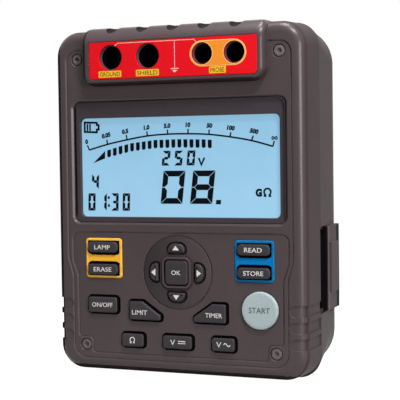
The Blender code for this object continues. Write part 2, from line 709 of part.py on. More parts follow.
def key_table():
    """Name, corner polygon, corner radius and steps per corner of every push key."""
    bar = (BAR_KEY_WIDTH, BAR_KEY_HEIGHT)
    upper = PLATE_Z + BAR_KEY_PITCH / 2
    lower = PLATE_Z - BAR_KEY_PITCH / 2
    across = (ARROW_LONG, ARROW_SHORT)
    upright = (ARROW_SHORT, ARROW_LONG)
    small, large = ARROW_INNER_CORNER, ARROW_OUTER_CORNER
    return (
        ("key_lamp", rectangle(-SIDE_KEY_X, upper, *bar), KEY_CORNER, 2),
        ("key_erase", rectangle(-SIDE_KEY_X, lower, *bar), KEY_CORNER, 2),
        ("key_read", rectangle(SIDE_KEY_X, upper, *bar), KEY_CORNER, 2),
        ("key_store", rectangle(SIDE_KEY_X, lower, *bar), KEY_CORNER, 2),
        ("key_power", rectangle(-POWER_X, MIDDLE_ROW_Z, POWER_WIDTH, POWER_HEIGHT), KEY_CORNER, 2),
        ("key_limit", wing(-1), 1.6 * MM, 2),
        ("key_timer", wing(1), 1.6 * MM, 2),
        ("key_up", rectangle(0, NAV_Z + NAV_REACH, *across), (small, small, large, large), 3),
        ("key_down", rectangle(0, NAV_Z - NAV_REACH, *across), (large, large, small, small), 3),
        ("key_left", rectangle(-NAV_REACH, NAV_Z, *upright), (large, small, small, large), 3),
        ("key_right", rectangle(NAV_REACH, NAV_Z, *upright), (small, large, large, small), 3),
        ("key_enter", rectangle(0, NAV_Z, ENTER_SIZE, ENTER_SIZE), KEY_CORNER, 2),
        ("key_test", rectangle(TEST_X, MIDDLE_ROW_Z, TEST_DIAMETER, TEST_DIAMETER), TEST_DIAMETER / 2.02, 4),
        ("key_ohms", rectangle(-MODE_PITCH, LOW_ROW_Z, MODE_WIDTH, MODE_HEIGHT), KEY_CORNER, 2),
        ("key_dc_volts", rectangle(0, LOW_ROW_Z, MODE_CENTRE_WIDTH, MODE_HEIGHT), KEY_CORNER, 2),
        ("key_ac_volts", rectangle(MODE_PITCH, LOW_ROW_Z, MODE_WIDTH, MODE_HEIGHT), KEY_CORNER, 2),
    )


def centre_of(outline):
    xs = [point[0] for point in outline]
    zs = [point[1] for point in outline]
    return (min(xs) + max(xs)) / 2, (min(zs) + max(zs)) / 2


def push_key(name, outline, radius, steps):
    """Cap with a soft edge, a flange behind the panel and a stem that reaches for its switch."""
    x, z = centre_of(outline)
    plan = (
        (-KEY_PROUD, KEY_EDGE),
        (KEY_EDGE * 0.3 - KEY_PROUD, KEY_EDGE * 0.3),
        (KEY_EDGE - KEY_PROUD, 0.0),
        (FLANGE_FRONT, 0.0),
        (FLANGE_FRONT, -KEY_FLANGE),
        (FLANGE_BACK, -KEY_FLANGE),
    )
    loops = [ring(rounded(outline, radius, steps, inset), depth) for depth, inset in plan]
    rim = rounded(outline, radius, steps)
    around = [(Vector(point) - Vector((x, z))).normalized() * STEM_RADIUS for point in rim]
    stem = [(x + offset.x, z + offset.y) for offset in around]
    loops += [ring(stem, FLANGE_BACK), ring(stem, STEM_END)]
    return loft(name, loops, at(x, 0.0, z))


def key_plate(name, x, keys):
    square = rectangle(x, PLATE_Z, PLATE_SIZE, PLATE_SIZE)
    plate = prism(name, rounded(square, PLATE_CORNER, 2), 0.0, PLATE_THICK)
    for outline, radius, steps in keys:
        hole = rounded(outline, radius, steps, -KEY_CLEARANCE)
        combine(plate, prism("hole", hole, -OVERSHOOT, OVERSHOOT))
    return plate


def keypad_mat(stems):
    """Rubber web behind the keys, with a hole for each stem and each pillar."""
    half_width = max(TEST_X + TEST_DIAMETER / 2, SIDE_KEY_X + BAR_KEY_WIDTH / 2)
    low = LOW_ROW_Z - MODE_HEIGHT / 2
    high = SCREEN_LOW - FRAME_FLANGE - MAT_MARGIN / 2
    mat = prism("keypad_mat", board_outline(half_width, low, high), MAT_FRONT, MAT_FRONT + MAT_THICK)
    holes = [(x, z, STEM_RADIUS + STEM_CLEARANCE) for x, z in stems]
    holes += [(x, z, PILLAR_RADIUS + GAP * 2) for x, z in pillar_places()]
    for x, z, radius in holes:
        combine(mat, rod("hole", x, z, radius, MAT_FRONT - OVERSHOOT, MAT_FRONT + MAT_THICK + OVERSHOOT, 6))
    return mat


# Boards
def board_outline(half_width, low, high):
    """Board with its two lower corners cut away round the case screws' bosses."""
    notch_x = HALF_WIDTH - SCREW_LOW_SIDE - BOSS_RADIUS - MAT_MARGIN / 2
    notch_z = SCREW_LOW_Z + BOSS_RADIUS + MAT_MARGIN / 2
    return [
        (-half_width, notch_z),
        (-notch_x, notch_z),
        (-notch_x, low),
        (notch_x, low),
        (notch_x, notch_z),
        (half_width, notch_z),
        (half_width, high),
        (-half_width, high),
    ]


def key_board():
    outline = board_outline(SCREEN_WIDTH / 2, LOW_ROW_Z - MODE_HEIGHT / 2, SCREEN_HIGH)
    return prism("key_board", outline, BOARD_FRONT, BOARD_FRONT + BOARD_THICK)


def board_back():
    return TRAY_FRONT - STANDOFF_REACH


def main_board():
    half_width = MAIN_BOARD_WIDTH / 2
    low = TRAY_LOW_Z + STANDOFF_RADIUS * 2
    middle = (low + BLOCK_LOW) / 2
    outline = rectangle(0, middle, 2 * half_width, BLOCK_LOW - low)
    return prism("main_board", outline, board_back() - GAP - BOARD_THICK, board_back() - GAP)


def hv_transformer():
    """Ferrite core with a wound bobbin between its side limbs."""
    z = tray_top() + BATTERY_TAB + TRANSFORMER_HEIGHT / 2 + WALL
    depths = (board_back(), board_back() + TRANSFORMER_DEEP)
    x = -MAIN_BOARD_WIDTH / 2 + TRANSFORMER_WIDTH / 2 + WALL
    limb = TRANSFORMER_WIDTH / 5
    core = box("hv_transformer", (x - limb * 2.5, x + limb * 2.5), depths, (z - limb * 2, z + limb * 2), MM)
    for side in (-1, 1):
        limits = sorted((x + side * limb * 1.6, x + side * limb * 0.8))
        window = box("window", limits, (depths[0] - OVERSHOOT, depths[1] + OVERSHOOT), (z - limb, z + limb))
        combine(core, window)
    middle = (depths[0] + depths[1]) / 2
    wound_x = (x - limb * 1.3, x + limb * 1.3)
    bobbin = box("bobbin", wound_x, (middle - limb, middle + limb), (z - limb * 1.5, z + limb * 1.5))
    return combine(core, bobbin, "UNION")


def buzzer():
    z = tray_top() + BATTERY_TAB + TRANSFORMER_HEIGHT / 2 + WALL
    x = MAIN_BOARD_WIDTH / 4
    back = board_back() + BUZZER_DEEP
    radius = BUZZER_DIAMETER / 2
    profile = ((radius, board_back()), (radius, back), (MM, back), (MM, back - BUZZER_DEEP / 2))
    return turned("buzzer", x, z, profile, 14)


# Side ports
def bay_depths():
    return PARTING + BAY_WALL, PARTING + BAY_WALL + BAY_WIDTH


def bay_heights():
    return BAY_LOW_Z, BAY_LOW_Z + BAY_HEIGHT


def bay_middle():
    return sum(bay_depths()) / 2


def cover_heights():
    return BAY_LOW_Z - COVER_OVERLAP, BAY_LOW_Z + BAY_HEIGHT + COVER_OVERLAP


def socket_places():
    low = BAY_LOW_Z + SOCKET_RISE
    return (low, POWER_SOCKET_HEIGHT), (low + SOCKET_PITCH, DATA_HEIGHT)


def socket_block(name, z, height):
    back = COVER_FACE - COVER_THICK - BAY_DEEP - BAY_WALL
    depths = (bay_middle() - SOCKET_WIDTH / 2, bay_middle() + SOCKET_WIDTH / 2)
    return box(name, (back, back + BAY_WALL + SOCKET_REACH), depths, (z - height / 2, z + height / 2))


def sideways_rod(name, z, radius, x_range, sides=12):
    """Round bar that runs along X through the middle of the bay."""
    outline = circle(bay_middle(), z, radius, sides)
    return loft(name, [[at(x, depth, height) for depth, height in outline] for x in x_range])


def power_socket():
    z, height = socket_places()[0]
    socket = socket_block("power_socket", z, height)
    mouth = COVER_FACE - COVER_THICK - BAY_DEEP + SOCKET_REACH
    bore = sideways_rod("bore", z, POWER_SOCKET_BORE / 2, (mouth - DATA_DEEP, mouth + OVERSHOOT))
    pin_reach = (mouth - DATA_DEEP - OVERSHOOT, mouth - MM)
    combine(bore, sideways_rod("pin", z, POWER_SOCKET_PIN / 2, pin_reach, 8))
    return combine(socket, bore)


def data_socket():
    z, height = socket_places()[1]
    socket = socket_block("data_socket", z, height)
    mouth = COVER_FACE - COVER_THICK - BAY_DEEP + SOCKET_REACH
    half = SOCKET_WIDTH / 2 - DATA_SHELL
    depths = (bay_middle() - half, bay_middle() + half)
    heights = (z - height / 2 + DATA_SHELL, z + height / 2 - DATA_SHELL)
    return combine(socket, box("mouth", (mouth - DATA_DEEP, mouth + OVERSHOOT), depths, heights))


def port_board():
    front = COVER_FACE - COVER_THICK - BAY_DEEP - BAY_WALL - GAP
    return box("port_board", (front - BOARD_THICK, front), bay_depths(), bay_heights())


def port_cover():
    """Flat sliding cover, shown drawn back, with tongues that run in the pocket's grooves."""
    low, high = cover_heights()
    depths = (COVER_OPEN, COVER_OPEN + COVER_LENGTH)
    inner = COVER_FACE - COVER_THICK
    middle = (low + high) / 2
    origin = at(inner, COVER_OPEN, middle)
    outline = [
        (inner, depths[0]),
        (COVER_FACE - KEY_EDGE, depths[0]),
        (COVER_FACE, depths[0] + KEY_EDGE),
        (COVER_FACE, depths[1] - COVER_CHAMFER),
        (COVER_FACE - COVER_CHAMFER * 0.7, depths[1]),
        (inner, depths[1]),
    ]
    loops = [[at(x, depth, z) for x, depth in outline] for z in (low, high)]
    cover = loft("port_cover", loops, origin)
    tongue_depths = (depths[0] + MM, depths[0] + MM + TONGUE_LENGTH)
    tongue = box("tongue", (inner, inner + TONGUE_THICK), tongue_depths, (low - TONGUE, high + TONGUE))
    combine(cover, tongue, "UNION")
    slit_front = depths[0] + 4.6 * MM
    grip_depths = (slit_front + COVER_SLIT_WIDTH, slit_front + COVER_SLIT_WIDTH + COVER_GRIP_LENGTH)
    heights = (middle - COVER_GRIP_HEIGHT / 2, middle + COVER_GRIP_HEIGHT / 2)
    grip_x = (COVER_FACE - MM, COVER_FACE + COVER_GRIP_PROUD)
    combine(cover, box("grip", grip_x, grip_depths, heights, COVER_GRIP_PROUD * 0.6), "UNION")
    slit_x = (COVER_FACE - COVER_SLIT_DEEP, COVER_FACE + OVERSHOOT)
    return combine(cover, box("slit", slit_x, (slit_front, grip_depths[0]), heights))


# Batteries
def cell_pitch():
    return CELL_DIAMETER + CELL_SPACE


def tray_width():
    return CELL_COLUMNS * cell_pitch() + CELL_SPACE


def tray_height():
    return CELL_ROWS * (CELL_LENGTH + CELL_NUB_LONG + CELL_SPACE) + CELL_SPACE


def tray_top():
    return TRAY_LOW_Z + 2 * TRAY_WALL + tray_height()


def battery_cover_rectangle():
    width = tray_width() + 2 * COVER_SEAT
    low = TRAY_LOW_Z + TRAY_WALL - COVER_SEAT
    high = tray_top() + BATTERY_TAB
    return rectangle(0, (low + high) / 2, width, high - low)


def battery_screw_z():
    return tray_top() + TRAY_BOSS_RADIUS - 1.0 * MM


def battery_tray():
    """Open tray for the cells, with a boss for the cover's screw and stand-offs for the main board."""
    back = BACK_DEPTH - WALL - GAP
    half = tray_width() / 2
    outer_x = (-half - TRAY_WALL, half + TRAY_WALL)
    tray = box("battery_tray", outer_x, (TRAY_FRONT, back), (TRAY_LOW_Z, tray_top()))
    hollow_z = (TRAY_LOW_Z + TRAY_WALL, tray_top() - TRAY_WALL)
    combine(tray, box("hollow", (-half, half), (TRAY_FRONT + TRAY_WALL, back + OVERSHOOT), hollow_z))
    boss = rod("boss", 0, battery_screw_z(), TRAY_BOSS_RADIUS, TRAY_FRONT + TRAY_WALL, back)
    combine(tray, boss, "UNION")
    pilot = (back - SCREW_BITE, back + OVERSHOOT)
    combine(tray, rod("pilot", 0, battery_screw_z(), SCREW_SHANK / 2 + GAP, *pilot, 12))
    for x in mirrored_x([MAIN_BOARD_WIDTH / 2 - STANDOFF_RADIUS * 2]):
        for z in (TRAY_LOW_Z + STANDOFF_RADIUS * 4, tray_top() - STANDOFF_RADIUS * 2):
            standoff = rod("standoff", x, z, STANDOFF_RADIUS, board_back(), TRAY_FRONT + TRAY_WALL / 2, 10)
            combine(tray, standoff, "UNION")
    return tray


def battery(name, column, row):
    x = cell_pitch() * (column - (CELL_COLUMNS - 1) / 2)
    step = CELL_LENGTH + CELL_NUB_LONG + CELL_SPACE
    low = TRAY_LOW_Z + TRAY_WALL + CELL_SPACE + step * row
    depth = TRAY_FRONT + TRAY_WALL + CELL_SPACE + CELL_DIAMETER / 2
    flip = (column + row) % 2
    profile = [
        (CELL_DIAMETER / 2 - MM, 0.0),
        (CELL_DIAMETER / 2, MM),
        (CELL_DIAMETER / 2, CELL_LENGTH - MM),
        (CELL_DIAMETER / 2 - MM, CELL_LENGTH),
        (CELL_NUB, CELL_LENGTH),
        (CELL_NUB, CELL_LENGTH + CELL_NUB_LONG),
    ]
    loops = []
    for radius, along in profile:
        z = low + (CELL_LENGTH + CELL_NUB_LONG - along if flip else along)
        loops.append([at(px, pd, z) for px, pd in circle(x, depth, radius, 10)])
    return loft(name, loops)


def battery_cover():
    outline = rounded(battery_cover_rectangle(), 3.0 * MM, 2)
    cover = prism("battery_cover", outline, BACK_DEPTH - BATTERY_COVER_THICK, BACK_DEPTH)
    z = battery_screw_z()
    combine(cover, rod("pocket", 0, z, SCREW_HEAD / 2 + GAP, BACK_DEPTH - MM, BACK_DEPTH + OVERSHOOT))
    through = (BACK_DEPTH - BATTERY_COVER_THICK - OVERSHOOT, BACK_DEPTH)
    return combine(cover, rod("bore", 0, z, SCREW_SHANK / 2 + GAP, *through, 12))


def battery_cover_screw():
    head = BACK_DEPTH - MM + GAP
    end = BACK_DEPTH - WALL - SCREW_BITE
    profile = (
        (SCREW_SHANK / 2, end),
        (SCREW_SHANK / 2, head),
        (SCREW_HEAD / 2, head),
        (SCREW_HEAD / 2, BACK_DEPTH),
        (SCREW_SOCKET / 2, BACK_DEPTH),
        (SCREW_SOCKET / 2, BACK_DEPTH - 0.4 * MM),
    )
    return turned("battery_cover_screw", 0, battery_screw_z(), profile, 12)


# Finishes
def finish_of(name, colour, roughness, metallic=0.0):
    surface = bpy.data.materials.new(name)
    surface.use_nodes = True
    shader = surface.node_tree.nodes["Principled BSDF"]
    shader.inputs["Base Color"].default_value = (*colour, 1.0)
    shader.inputs["Roughness"].default_value = roughness
    shader.inputs["Metallic"].default_value = metallic
    return surface


def paint(made, colour, roughness, metallic=0.0):
    made.data.materials.clear()
    made.data.materials.append(finish_of(made.name + "_finish", colour, roughness, metallic))
    made.data.shade_smooth()
    made.data.set_sharp_from_angle(angle=math.radians(32))


CASE_GREY = (0.085, 0.066, 0.068)
KEY_GREY = (0.055, 0.045, 0.050)
FRAME_GREY = (0.052, 0.042, 0.048)
SIGNAL_RED = (0.80, 0.012, 0.022)
PLATE_YELLOW = (0.95, 0.41, 0.037)
PLATE_BLUE = (0.003, 0.16, 0.47)
TEST_GREY = (0.52, 0.62, 0.61)
BOARD_GREEN = (0.02, 0.16, 0.07)
BLACK = (0.012, 0.012, 0.014)
STEEL = (0.55, 0.55, 0.56)
BRASS = (0.72, 0.52, 0.20)
LENS_CLEAR = (0.85, 0.92, 0.95)
LCD_BLUE = (0.32, 0.56, 0.74)
BACKLIGHT_WHITE = (0.82, 0.86, 0.88)
RUBBER_GREY = (0.10, 0.10, 0.10)
CELL_GREY = (0.30, 0.31, 0.33)


def build():
    keys = key_table()
    outlines = [(outline, radius, steps) for _, outline, radius, steps in keys]
    paint(front_shell(outlines), CASE_GREY, 0.5)
    paint(rear_shell(), CASE_GREY, 0.5)
    paint(display_frame(), FRAME_GREY, 0.5)
    paint(display_lens(), LENS_CLEAR, 0.1)
    paint(display_layer("lcd_panel", LCD_FRONT, LCD_THICK), LCD_BLUE, 0.25)
    paint(display_layer("backlight", BACKLIGHT_FRONT, BACKLIGHT_THICK), BACKLIGHT_WHITE, 0.4)
    paint(terminal_panel(), SIGNAL_RED, 0.4)
    paint(jack_block(), BLACK, 0.5)
    for name, x in zip(("earth", "guard", "line", "line_shield"), jack_places()):
        paint(jack_contact("jack_contact_" + name, x), BRASS, 0.3, 1.0)
    paint(key_plate("yellow_key_plate", -SIDE_KEY_X, outlines[0:2]), PLATE_YELLOW, 0.4)
    paint(key_plate("blue_key_plate", SIDE_KEY_X, outlines[2:4]), PLATE_BLUE, 0.4)
    for name, outline, radius, steps in keys:
        paint(push_key(name, outline, radius, steps), TEST_GREY if name == "key_test" else KEY_GREY, 0.5)
    paint(keypad_mat([centre_of(outline) for outline, _, _ in outlines]), RUBBER_GREY, 0.7)
    paint(key_board(), BOARD_GREEN, 0.4)
    paint(main_board(), BOARD_GREEN, 0.4)
    paint(hv_transformer(), BLACK, 0.6)
    paint(buzzer(), BLACK, 0.5)
    paint(port_board(), BOARD_GREEN, 0.4)
    paint(power_socket(), BLACK, 0.4)
    paint(data_socket(), STEEL, 0.35, 1.0)
    paint(port_cover(), CASE_GREY, 0.5)
    paint(battery_tray(), BLACK, 0.6)
    for row in range(CELL_ROWS):
        for column in range(CELL_COLUMNS):
            name = f"battery_{row * CELL_COLUMNS + column + 1}"
            paint(battery(name, column, row), CELL_GREY, 0.35, 0.6)
    paint(battery_cover(), CASE_GREY, 0.5)
    paint(battery_cover_screw(), STEEL, 0.35, 1.0)
    for index, (x, z) in enumerate(screw_places()):
        paint(case_screw(f"case_screw_{index + 1}", x, z), CASE_GREY, 0.4)


build()
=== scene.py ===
"""Insulation resistance tester: finished surfaces, lettering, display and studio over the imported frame.

Sizes are in millimetres. "Depth" is measured back from the panel's face, so the terminal block is negative.
"""

import math

import bmesh
import bpy
from mathutils import Matrix, Vector


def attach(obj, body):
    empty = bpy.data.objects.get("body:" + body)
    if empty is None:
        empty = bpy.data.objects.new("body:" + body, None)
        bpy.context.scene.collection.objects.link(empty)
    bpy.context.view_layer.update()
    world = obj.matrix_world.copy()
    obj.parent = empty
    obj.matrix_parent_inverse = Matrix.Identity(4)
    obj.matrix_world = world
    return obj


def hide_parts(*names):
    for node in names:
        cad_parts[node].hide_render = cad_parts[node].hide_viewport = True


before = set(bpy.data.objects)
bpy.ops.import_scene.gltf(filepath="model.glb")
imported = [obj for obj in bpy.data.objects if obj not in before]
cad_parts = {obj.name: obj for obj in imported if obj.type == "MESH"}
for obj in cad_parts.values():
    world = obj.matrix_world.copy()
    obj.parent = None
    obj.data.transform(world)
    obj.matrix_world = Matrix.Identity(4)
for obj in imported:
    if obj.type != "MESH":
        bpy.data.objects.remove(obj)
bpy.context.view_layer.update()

MM = 0.001
FACE_Y = -40.0
OVERSHOOT = 2.0
HOLE_BACK = 8.0
LEAST_ROUND = 0.12

# Case
HALF_WIDTH = 77.8
HEIGHT = 202.0
WALL = 2.5
FRONT_DEPTH = 25.0
FRONT_LIFT = 1.5
FRONT_DROP = 0.3
FRONT_CORNER = 14.5
FRONT_DRAFT = 0.8
EDGE_ROUND = 6.0
EDGE_STEPS = 12
FACE_INSIDE = 3.6
INSIDE_ROUND = 3.0
INSIDE_SLOPE = 4.0
PARTING = 25.3
PARTING_CORNER = 13.5
LIP_REACH = 3.0
LIP_INSIDE = 4.2
LIP_ROOT = 1.4
LIP_END = 4.0
PARTING_EDGE = 0.5
REAR_STRAIGHT = 26.7
REAR_DRAFT = 1.8
REAR_TOP_CORNER = 20.5
REAR_FOOT_CORNER = 24.5
REAR_CROWN = 34.5
CROWN_SIDE = 20.0
CROWN_TOP = 14.0
CROWN_CORNER = 11.2
CROWN_STEPS = 14
FOOT_ROUND = 12.0
FOOT_ROUND_DEPTH = 16.5
BACK_DEPTH = 86.5
SHELL_GAP = 0.3
FIELD_DEPTH = 0.55
KEY_FIELD_DEPTH = 1.1
FIELD_SLOPE = 0.8
TRENCH_WIDTH = 0.3
TRENCH_DEPTH = 0.3
TRENCH_LEAD = 0.2
GRIP_COUNT = 3
GRIP_LOW_Z = 22.6
GRIP_PITCH = 9.25
GRIP_START = 67.0
GRIP_HEIGHT = 6.4
GRIP_DEPTH = 0.7
SCREWS = ((-62.4, 184.5), (62.4, 184.5), (-59.1, 17.0), (59.1, 17.0))
POCKET_RADIUS = 3.6
POCKET_RIM = 0.25
POCKET_FLOOR = 2.2
BATTERY_COVER = (0.0, 68.75, 109.4, 110.1)
BATTERY_COVER_CORNER = 3.0
BATTERY_HOLE_FRONT = 82.0
BATTERY_SCREW_Z = 120.3

# Where the case changes its skin: painted shade on the notches, left rim, undersides and cursor dome, and a
# shaded low-sheen copy on the sides
SIDE_SKIN_DEPTH = 3.0
LEFT_SKIN_X = -73.5
UNDER_SKIN_Z = 5.0
BLOCK_LEFT_X = -53.2
BLOCK_UNDER_Z = 170.2
BLOCK_SKIN_DEPTH = -0.2
NOTCH_NEAR = 0.1

# Terminal block
BLOCK_FRONT = -6.5
BLOCK_HALF_WIDTH = 56.2
BLOCK_LOW = 168.4
BLOCK_HIGH = 202.3
BLOCK_TOP_CORNER = 3.5
BLOCK_CROWN_RUNS = 4
BLOCK_CROWN_STEPS = 4
NOTCH_SIDE_COUNT = 2
NOTCH_PITCH = 19.0
NOTCH_RADIUS = 4.5
NOTCH_FRONT_DEPTH = BLOCK_FRONT - OVERSHOOT
NOTCH_FRONT_Z = 201.8
NOTCH_BACK_DEPTH = 9.0
NOTCH_BACK_Z = 205.7
PANEL_THICK = 0.8
PANEL_SEAT_DEPTH = 1.2
SEAT_GAP = 0.25
JACK_X = (-36.85, -13.55, 19.75, 38.85)
JACK_Z = 184.3
JACK_RADII = (7.2, 7.2, 6.1, 6.1)
JACK_HOUSING = (94.7, 17.0)
JACK_HOUSING_CORNER = 2.0
JACK_OPENING = (95.3, 17.6)
TAG_Z = 174.9
FIELD_HOLE = 6.2

# Display
SCREEN = (0.0, 124.4, 131.2, 70.6)
SCREEN_CORNER = 4.0
SCREEN_EDGE_DEPTH = 0.95
SCREEN_EDGE_WIDTH = 1.15
WINDOW = (0.0, 121.3, 123.5, 57.8)
WINDOW_CORNER = 3.0
LCD_INK_DEPTH = 4.72
READOUT_SHIFT = 0.45
INK_THICK = 0.05

# Keys
KEY_PROUD = 1.2
KEY_SLIM = 0.6
KEY_EDGE = 1.0
ENTER_SLIM = 0.1
ROUND_KEY_PROUD = 0.9
ROUND_KEY_EDGE = 0.6
CAP_TOP_DEPTH = 0.8
CAP_CROWN = 0.12
CAP_SHOULDER = 0.04
CAP_BACK = 3.3
FLANGE_REACH = 1.2
FLANGE_BACK = 4.3
STEM_RADIUS = 2.2
STEM_BACK = 8.7
LETTER_RISE = 0.13
KEY_GAP = 0.6
BAR_KEY_GAP = 0.9
NAV_Z = 61.0
NAV_REACH = 14.0
NAV_RADIUS = 21.2
NAV_GAP = 0.35
NAV_LAP = 0.4
NAV_GROOVE = 0.75
DOME_RISE = 1.9
DOME_FOOT = 1.2
DOME_EDGE = 0.1
DOME_CLEAR = 2.6
DOME_STEPS = 12
LOW_ROW_Z = 21.0
MIDDLE_ROW_Z = 41.0
BAR_KEY_HIGH_Z = 74.8
BAR_KEY_LOW_Z = 61.8
POWER_KEY_X = -47.2
TEST_KEY_X = 50.0
OUTER_KEY_X = 28.1
PLATE_Z = 68.3
PLATE_X = 46.7
PLATE_SIZE = 23.4
PLATE_CORNER = 2.0
PLATE_FACE = 0.6
PLATE_RIM_INSET = 0.95
PLATE_RIM_WIDTH = 0.9
PLATE_SEAT_DEPTH = 1.8

# Side port: ranges of x, depth and z
BAY = ((58.1, 79.8), (26.7, 39.9), (38.5, 84.5))
BAY_WALLS = ((56.7, 80.5), (25.45, 41.3), (37.1, 85.9))
COVER_BACKING = ((72.2, 80.5), (28.1, 69.5), (33.2, 89.8))
COVER_POCKET = ((74.8, 79.8), (25.0, 71.0), (36.6, 86.4))
COVER_GROOVE = ((74.8, 76.2), (25.0, 71.0), (35.4, 87.6))
COVER_TONGUE = ((75.1, 75.9), (40.6, 58.6), (35.7, 87.3))
COVER_Z = (36.9, 86.1)
PAD_Z = (46.75, 76.25)
SOCKET_DEPTH = (28.0, 38.6)
SOCKET_Z = ((67.2, 79.8), (47.7, 59.3))

# Floor and lamps, in metres
FLOOR_SIZE = 6.0
FLOOR_Z = -0.0003
LAMP_AIM = Vector((0, 0, 0.1))

# Camera that fits the photo
VIEW_TURN = 22.21
VIEW_DROP = 2.28
VIEW_ROLL = 0.76
VIEW_PLACE = (264.41, -651.03, 128.8)
VIEW_LENS = 105.3


# Mesh helpers
def at(x, depth, z):
    return Vector((x, FACE_Y + depth, z)) * MM


def sweep(first, last, count):
    """Even run of values from first to last."""
    return [first + (last - first) * index / (count - 1) for index in range(count)]


def rectangle(x, z, width, height):
    left, right = x - width / 2, x + width / 2
    low, high = z - height / 2, z + height / 2
    return [(left, low), (right, low), (right, high), (left, high)]


def rounded(points, radius, steps=8, inset=0.0):
    """Round-cornered outline of a polygon listed anticlockwise. A convex one can be moved in by inset."""
    corners = [Vector(point) for point in points]
    count = len(corners)
    radii = radius if isinstance(radius, tuple) else (radius,) * count
    outline = []
    for index, corner in enumerate(corners):
        ahead = (corners[(index + 1) % count] - corner).normalized()
        behind = (corners[index - 1] - corner).normalized()
        inward_ahead = Vector((-ahead.y, ahead.x))
        inward_behind = Vector((behind.y, -behind.x))
        shift = (inward_ahead + inward_behind) * inset / (1 + inward_ahead.dot(inward_behind))
        half_angle = behind.angle(ahead) / 2
        round_by = max(radii[index] - inset, LEAST_ROUND)
        centre = corner + shift + (ahead + behind).normalized() * round_by / math.sin(half_angle)
        start = corner + shift + behind * round_by / math.tan(half_angle) - centre
        turn = math.copysign(math.pi - 2 * half_angle, ahead.x * behind.y - ahead.y * behind.x)
        for step in range(steps + 1):
            outline.append(centre + Matrix.Rotation(turn * step / steps, 2) @ start)
    return outline


def grown(outline, amount):
    """Moves an anticlockwise outline outwards, also where it is hollow."""
    moved = []
    for index, point in enumerate(outline):
        ahead = (outline[(index + 1) % len(outline)] - point).normalized()
        behind = (point - outline[index - 1]).normalized()
        out_ahead = Vector((ahead.y, -ahead.x))
        out_behind = Vector((behind.y, -behind.x))
        moved.append(point + (out_ahead + out_behind) * amount / (1 + out_ahead.dot(out_behind)))
    return moved


def ring(outline, depth):
    return [at(point[0], depth, point[1]) for point in outline]


def circle(x, z, radius, sides=64):
    turns = [2 * math.pi * index / sides for index in range(sides)]
    return [(x + radius * math.cos(turn), z + radius * math.sin(turn)) for turn in turns]


def made_from(name, shape):
    bmesh.ops.recalc_face_normals(shape, faces=shape.faces)
    mesh = bpy.data.meshes.new(name)
    shape.to_mesh(mesh)
    shape.free()
    made = bpy.data.objects.new(name, mesh)
    bpy.context.scene.collection.objects.link(made)
    return made


def wall_between(shape, first, second):
    for index in range(len(first)):
        shape.faces.new((first[index - 1], first[index], second[index], second[index - 1]))


def solid(name, loops):
    """Closed solid through loops of equal length, capped at both ends."""
    shape = bmesh.new()
    rings = [[shape.verts.new(point) for point in loop] for loop in loops]
    for first, second in zip(rings, rings[1:]):
        wall_between(shape, first, second)
    shape.faces.new(rings[0])
    shape.faces.new(rings[-1])
    return made_from(name, shape)


def slab(name, outline, front, back):
    return solid(name, [ring(outline, front), ring(outline, back)])


def stepped(name, outline, radius, levels, steps=8):
    """Solid with one rounded outline, moved in by its own amount at each depth."""
    return solid(name, [ring(rounded(outline, radius, steps, inset), depth) for depth, inset in levels])


def round_slab(name, outline, radius, growth, front, back, steps=8):
    """Slab with a rounded outline, grown by an amount on all sides."""
    return slab(name, rounded(outline, radius, steps, -growth), front, back)


def band(name, outer, inner, front, back):
    """Closed ring between two outlines of equal length."""
    shape = bmesh.new()
    loops = (ring(outer, front), ring(outer, back), ring(inner, back), ring(inner, front))
    rings = [[shape.verts.new(point) for point in loop] for loop in loops]
    for first, second in zip(rings, rings[1:] + rings[:1]):
        wall_between(shape, first, second)
    return made_from(name, shape)


def turned(name, x, z, profile, sides=64):
    return solid(name, [ring(circle(x, z, radius, sides), depth) for radius, depth in profile])


def rod(name, x, z, radius, front, back, sides=48):
    return turned(name, x, z, [(radius, front), (radius, back)], sides)


def block(name, x_range, depth_range, z_range, edge=0.0):
    shape = bmesh.new()
    bmesh.ops.create_cube(shape, size=1.0)
    low = at(x_range[0], depth_range[0], z_range[0])
    high = at(x_range[1], depth_range[1], z_range[1])
    bmesh.ops.scale(shape, verts=shape.verts, vec=high - low)
    bmesh.ops.translate(shape, verts=shape.verts, vec=(low + high) / 2)
    if edge:
        bmesh.ops.bevel(
            shape, geom=shape.edges, offset=edge * MM, segments=3, profile=0.5, affect="EDGES"
        )
    return made_from(name, shape)


def merged(tools):
    shape = bmesh.new()
    for tool in tools:
        shape.from_mesh(tool.data)
        bpy.data.objects.remove(tool)
    return made_from("tool", shape)


def combine(body, tools, operation="DIFFERENCE"):
    """Cuts the tools, which stand clear of one another, from the body, or joins them on."""
    tool = merged(tools)
    step = body.modifiers.new("combine", "BOOLEAN")
    step.operation = operation
    step.solver = "EXACT"
    step.object = tool
    graph = bpy.context.evaluated_depsgraph_get()
    mesh = bpy.data.meshes.new_from_object(body.evaluated_get(graph))
    body.modifiers.clear()
    body.data = mesh
    bpy.data.objects.remove(tool)
    return body


# Surface recipes
def tone(red, green, blue):
    """Linear colour of an sRGB value out of 255."""
    shares = [value / 255 for value in (red, green, blue)]
    return tuple(s / 12.92 if s <= 0.04045 else ((s + 0.055) / 1.055) ** 2.4 for s in shares) + (1.0,)


def grey(level):
    return (level, level, level, 1.0)


def feed(node, given):
    """Sets each input of a node, or links it where a socket is given."""
    for label, value in given.items():
        if isinstance(value, bpy.types.NodeSocket):
            node.id_data.links.new(value, node.inputs[label])
        else:
            node.inputs[label].default_value = value
    return node


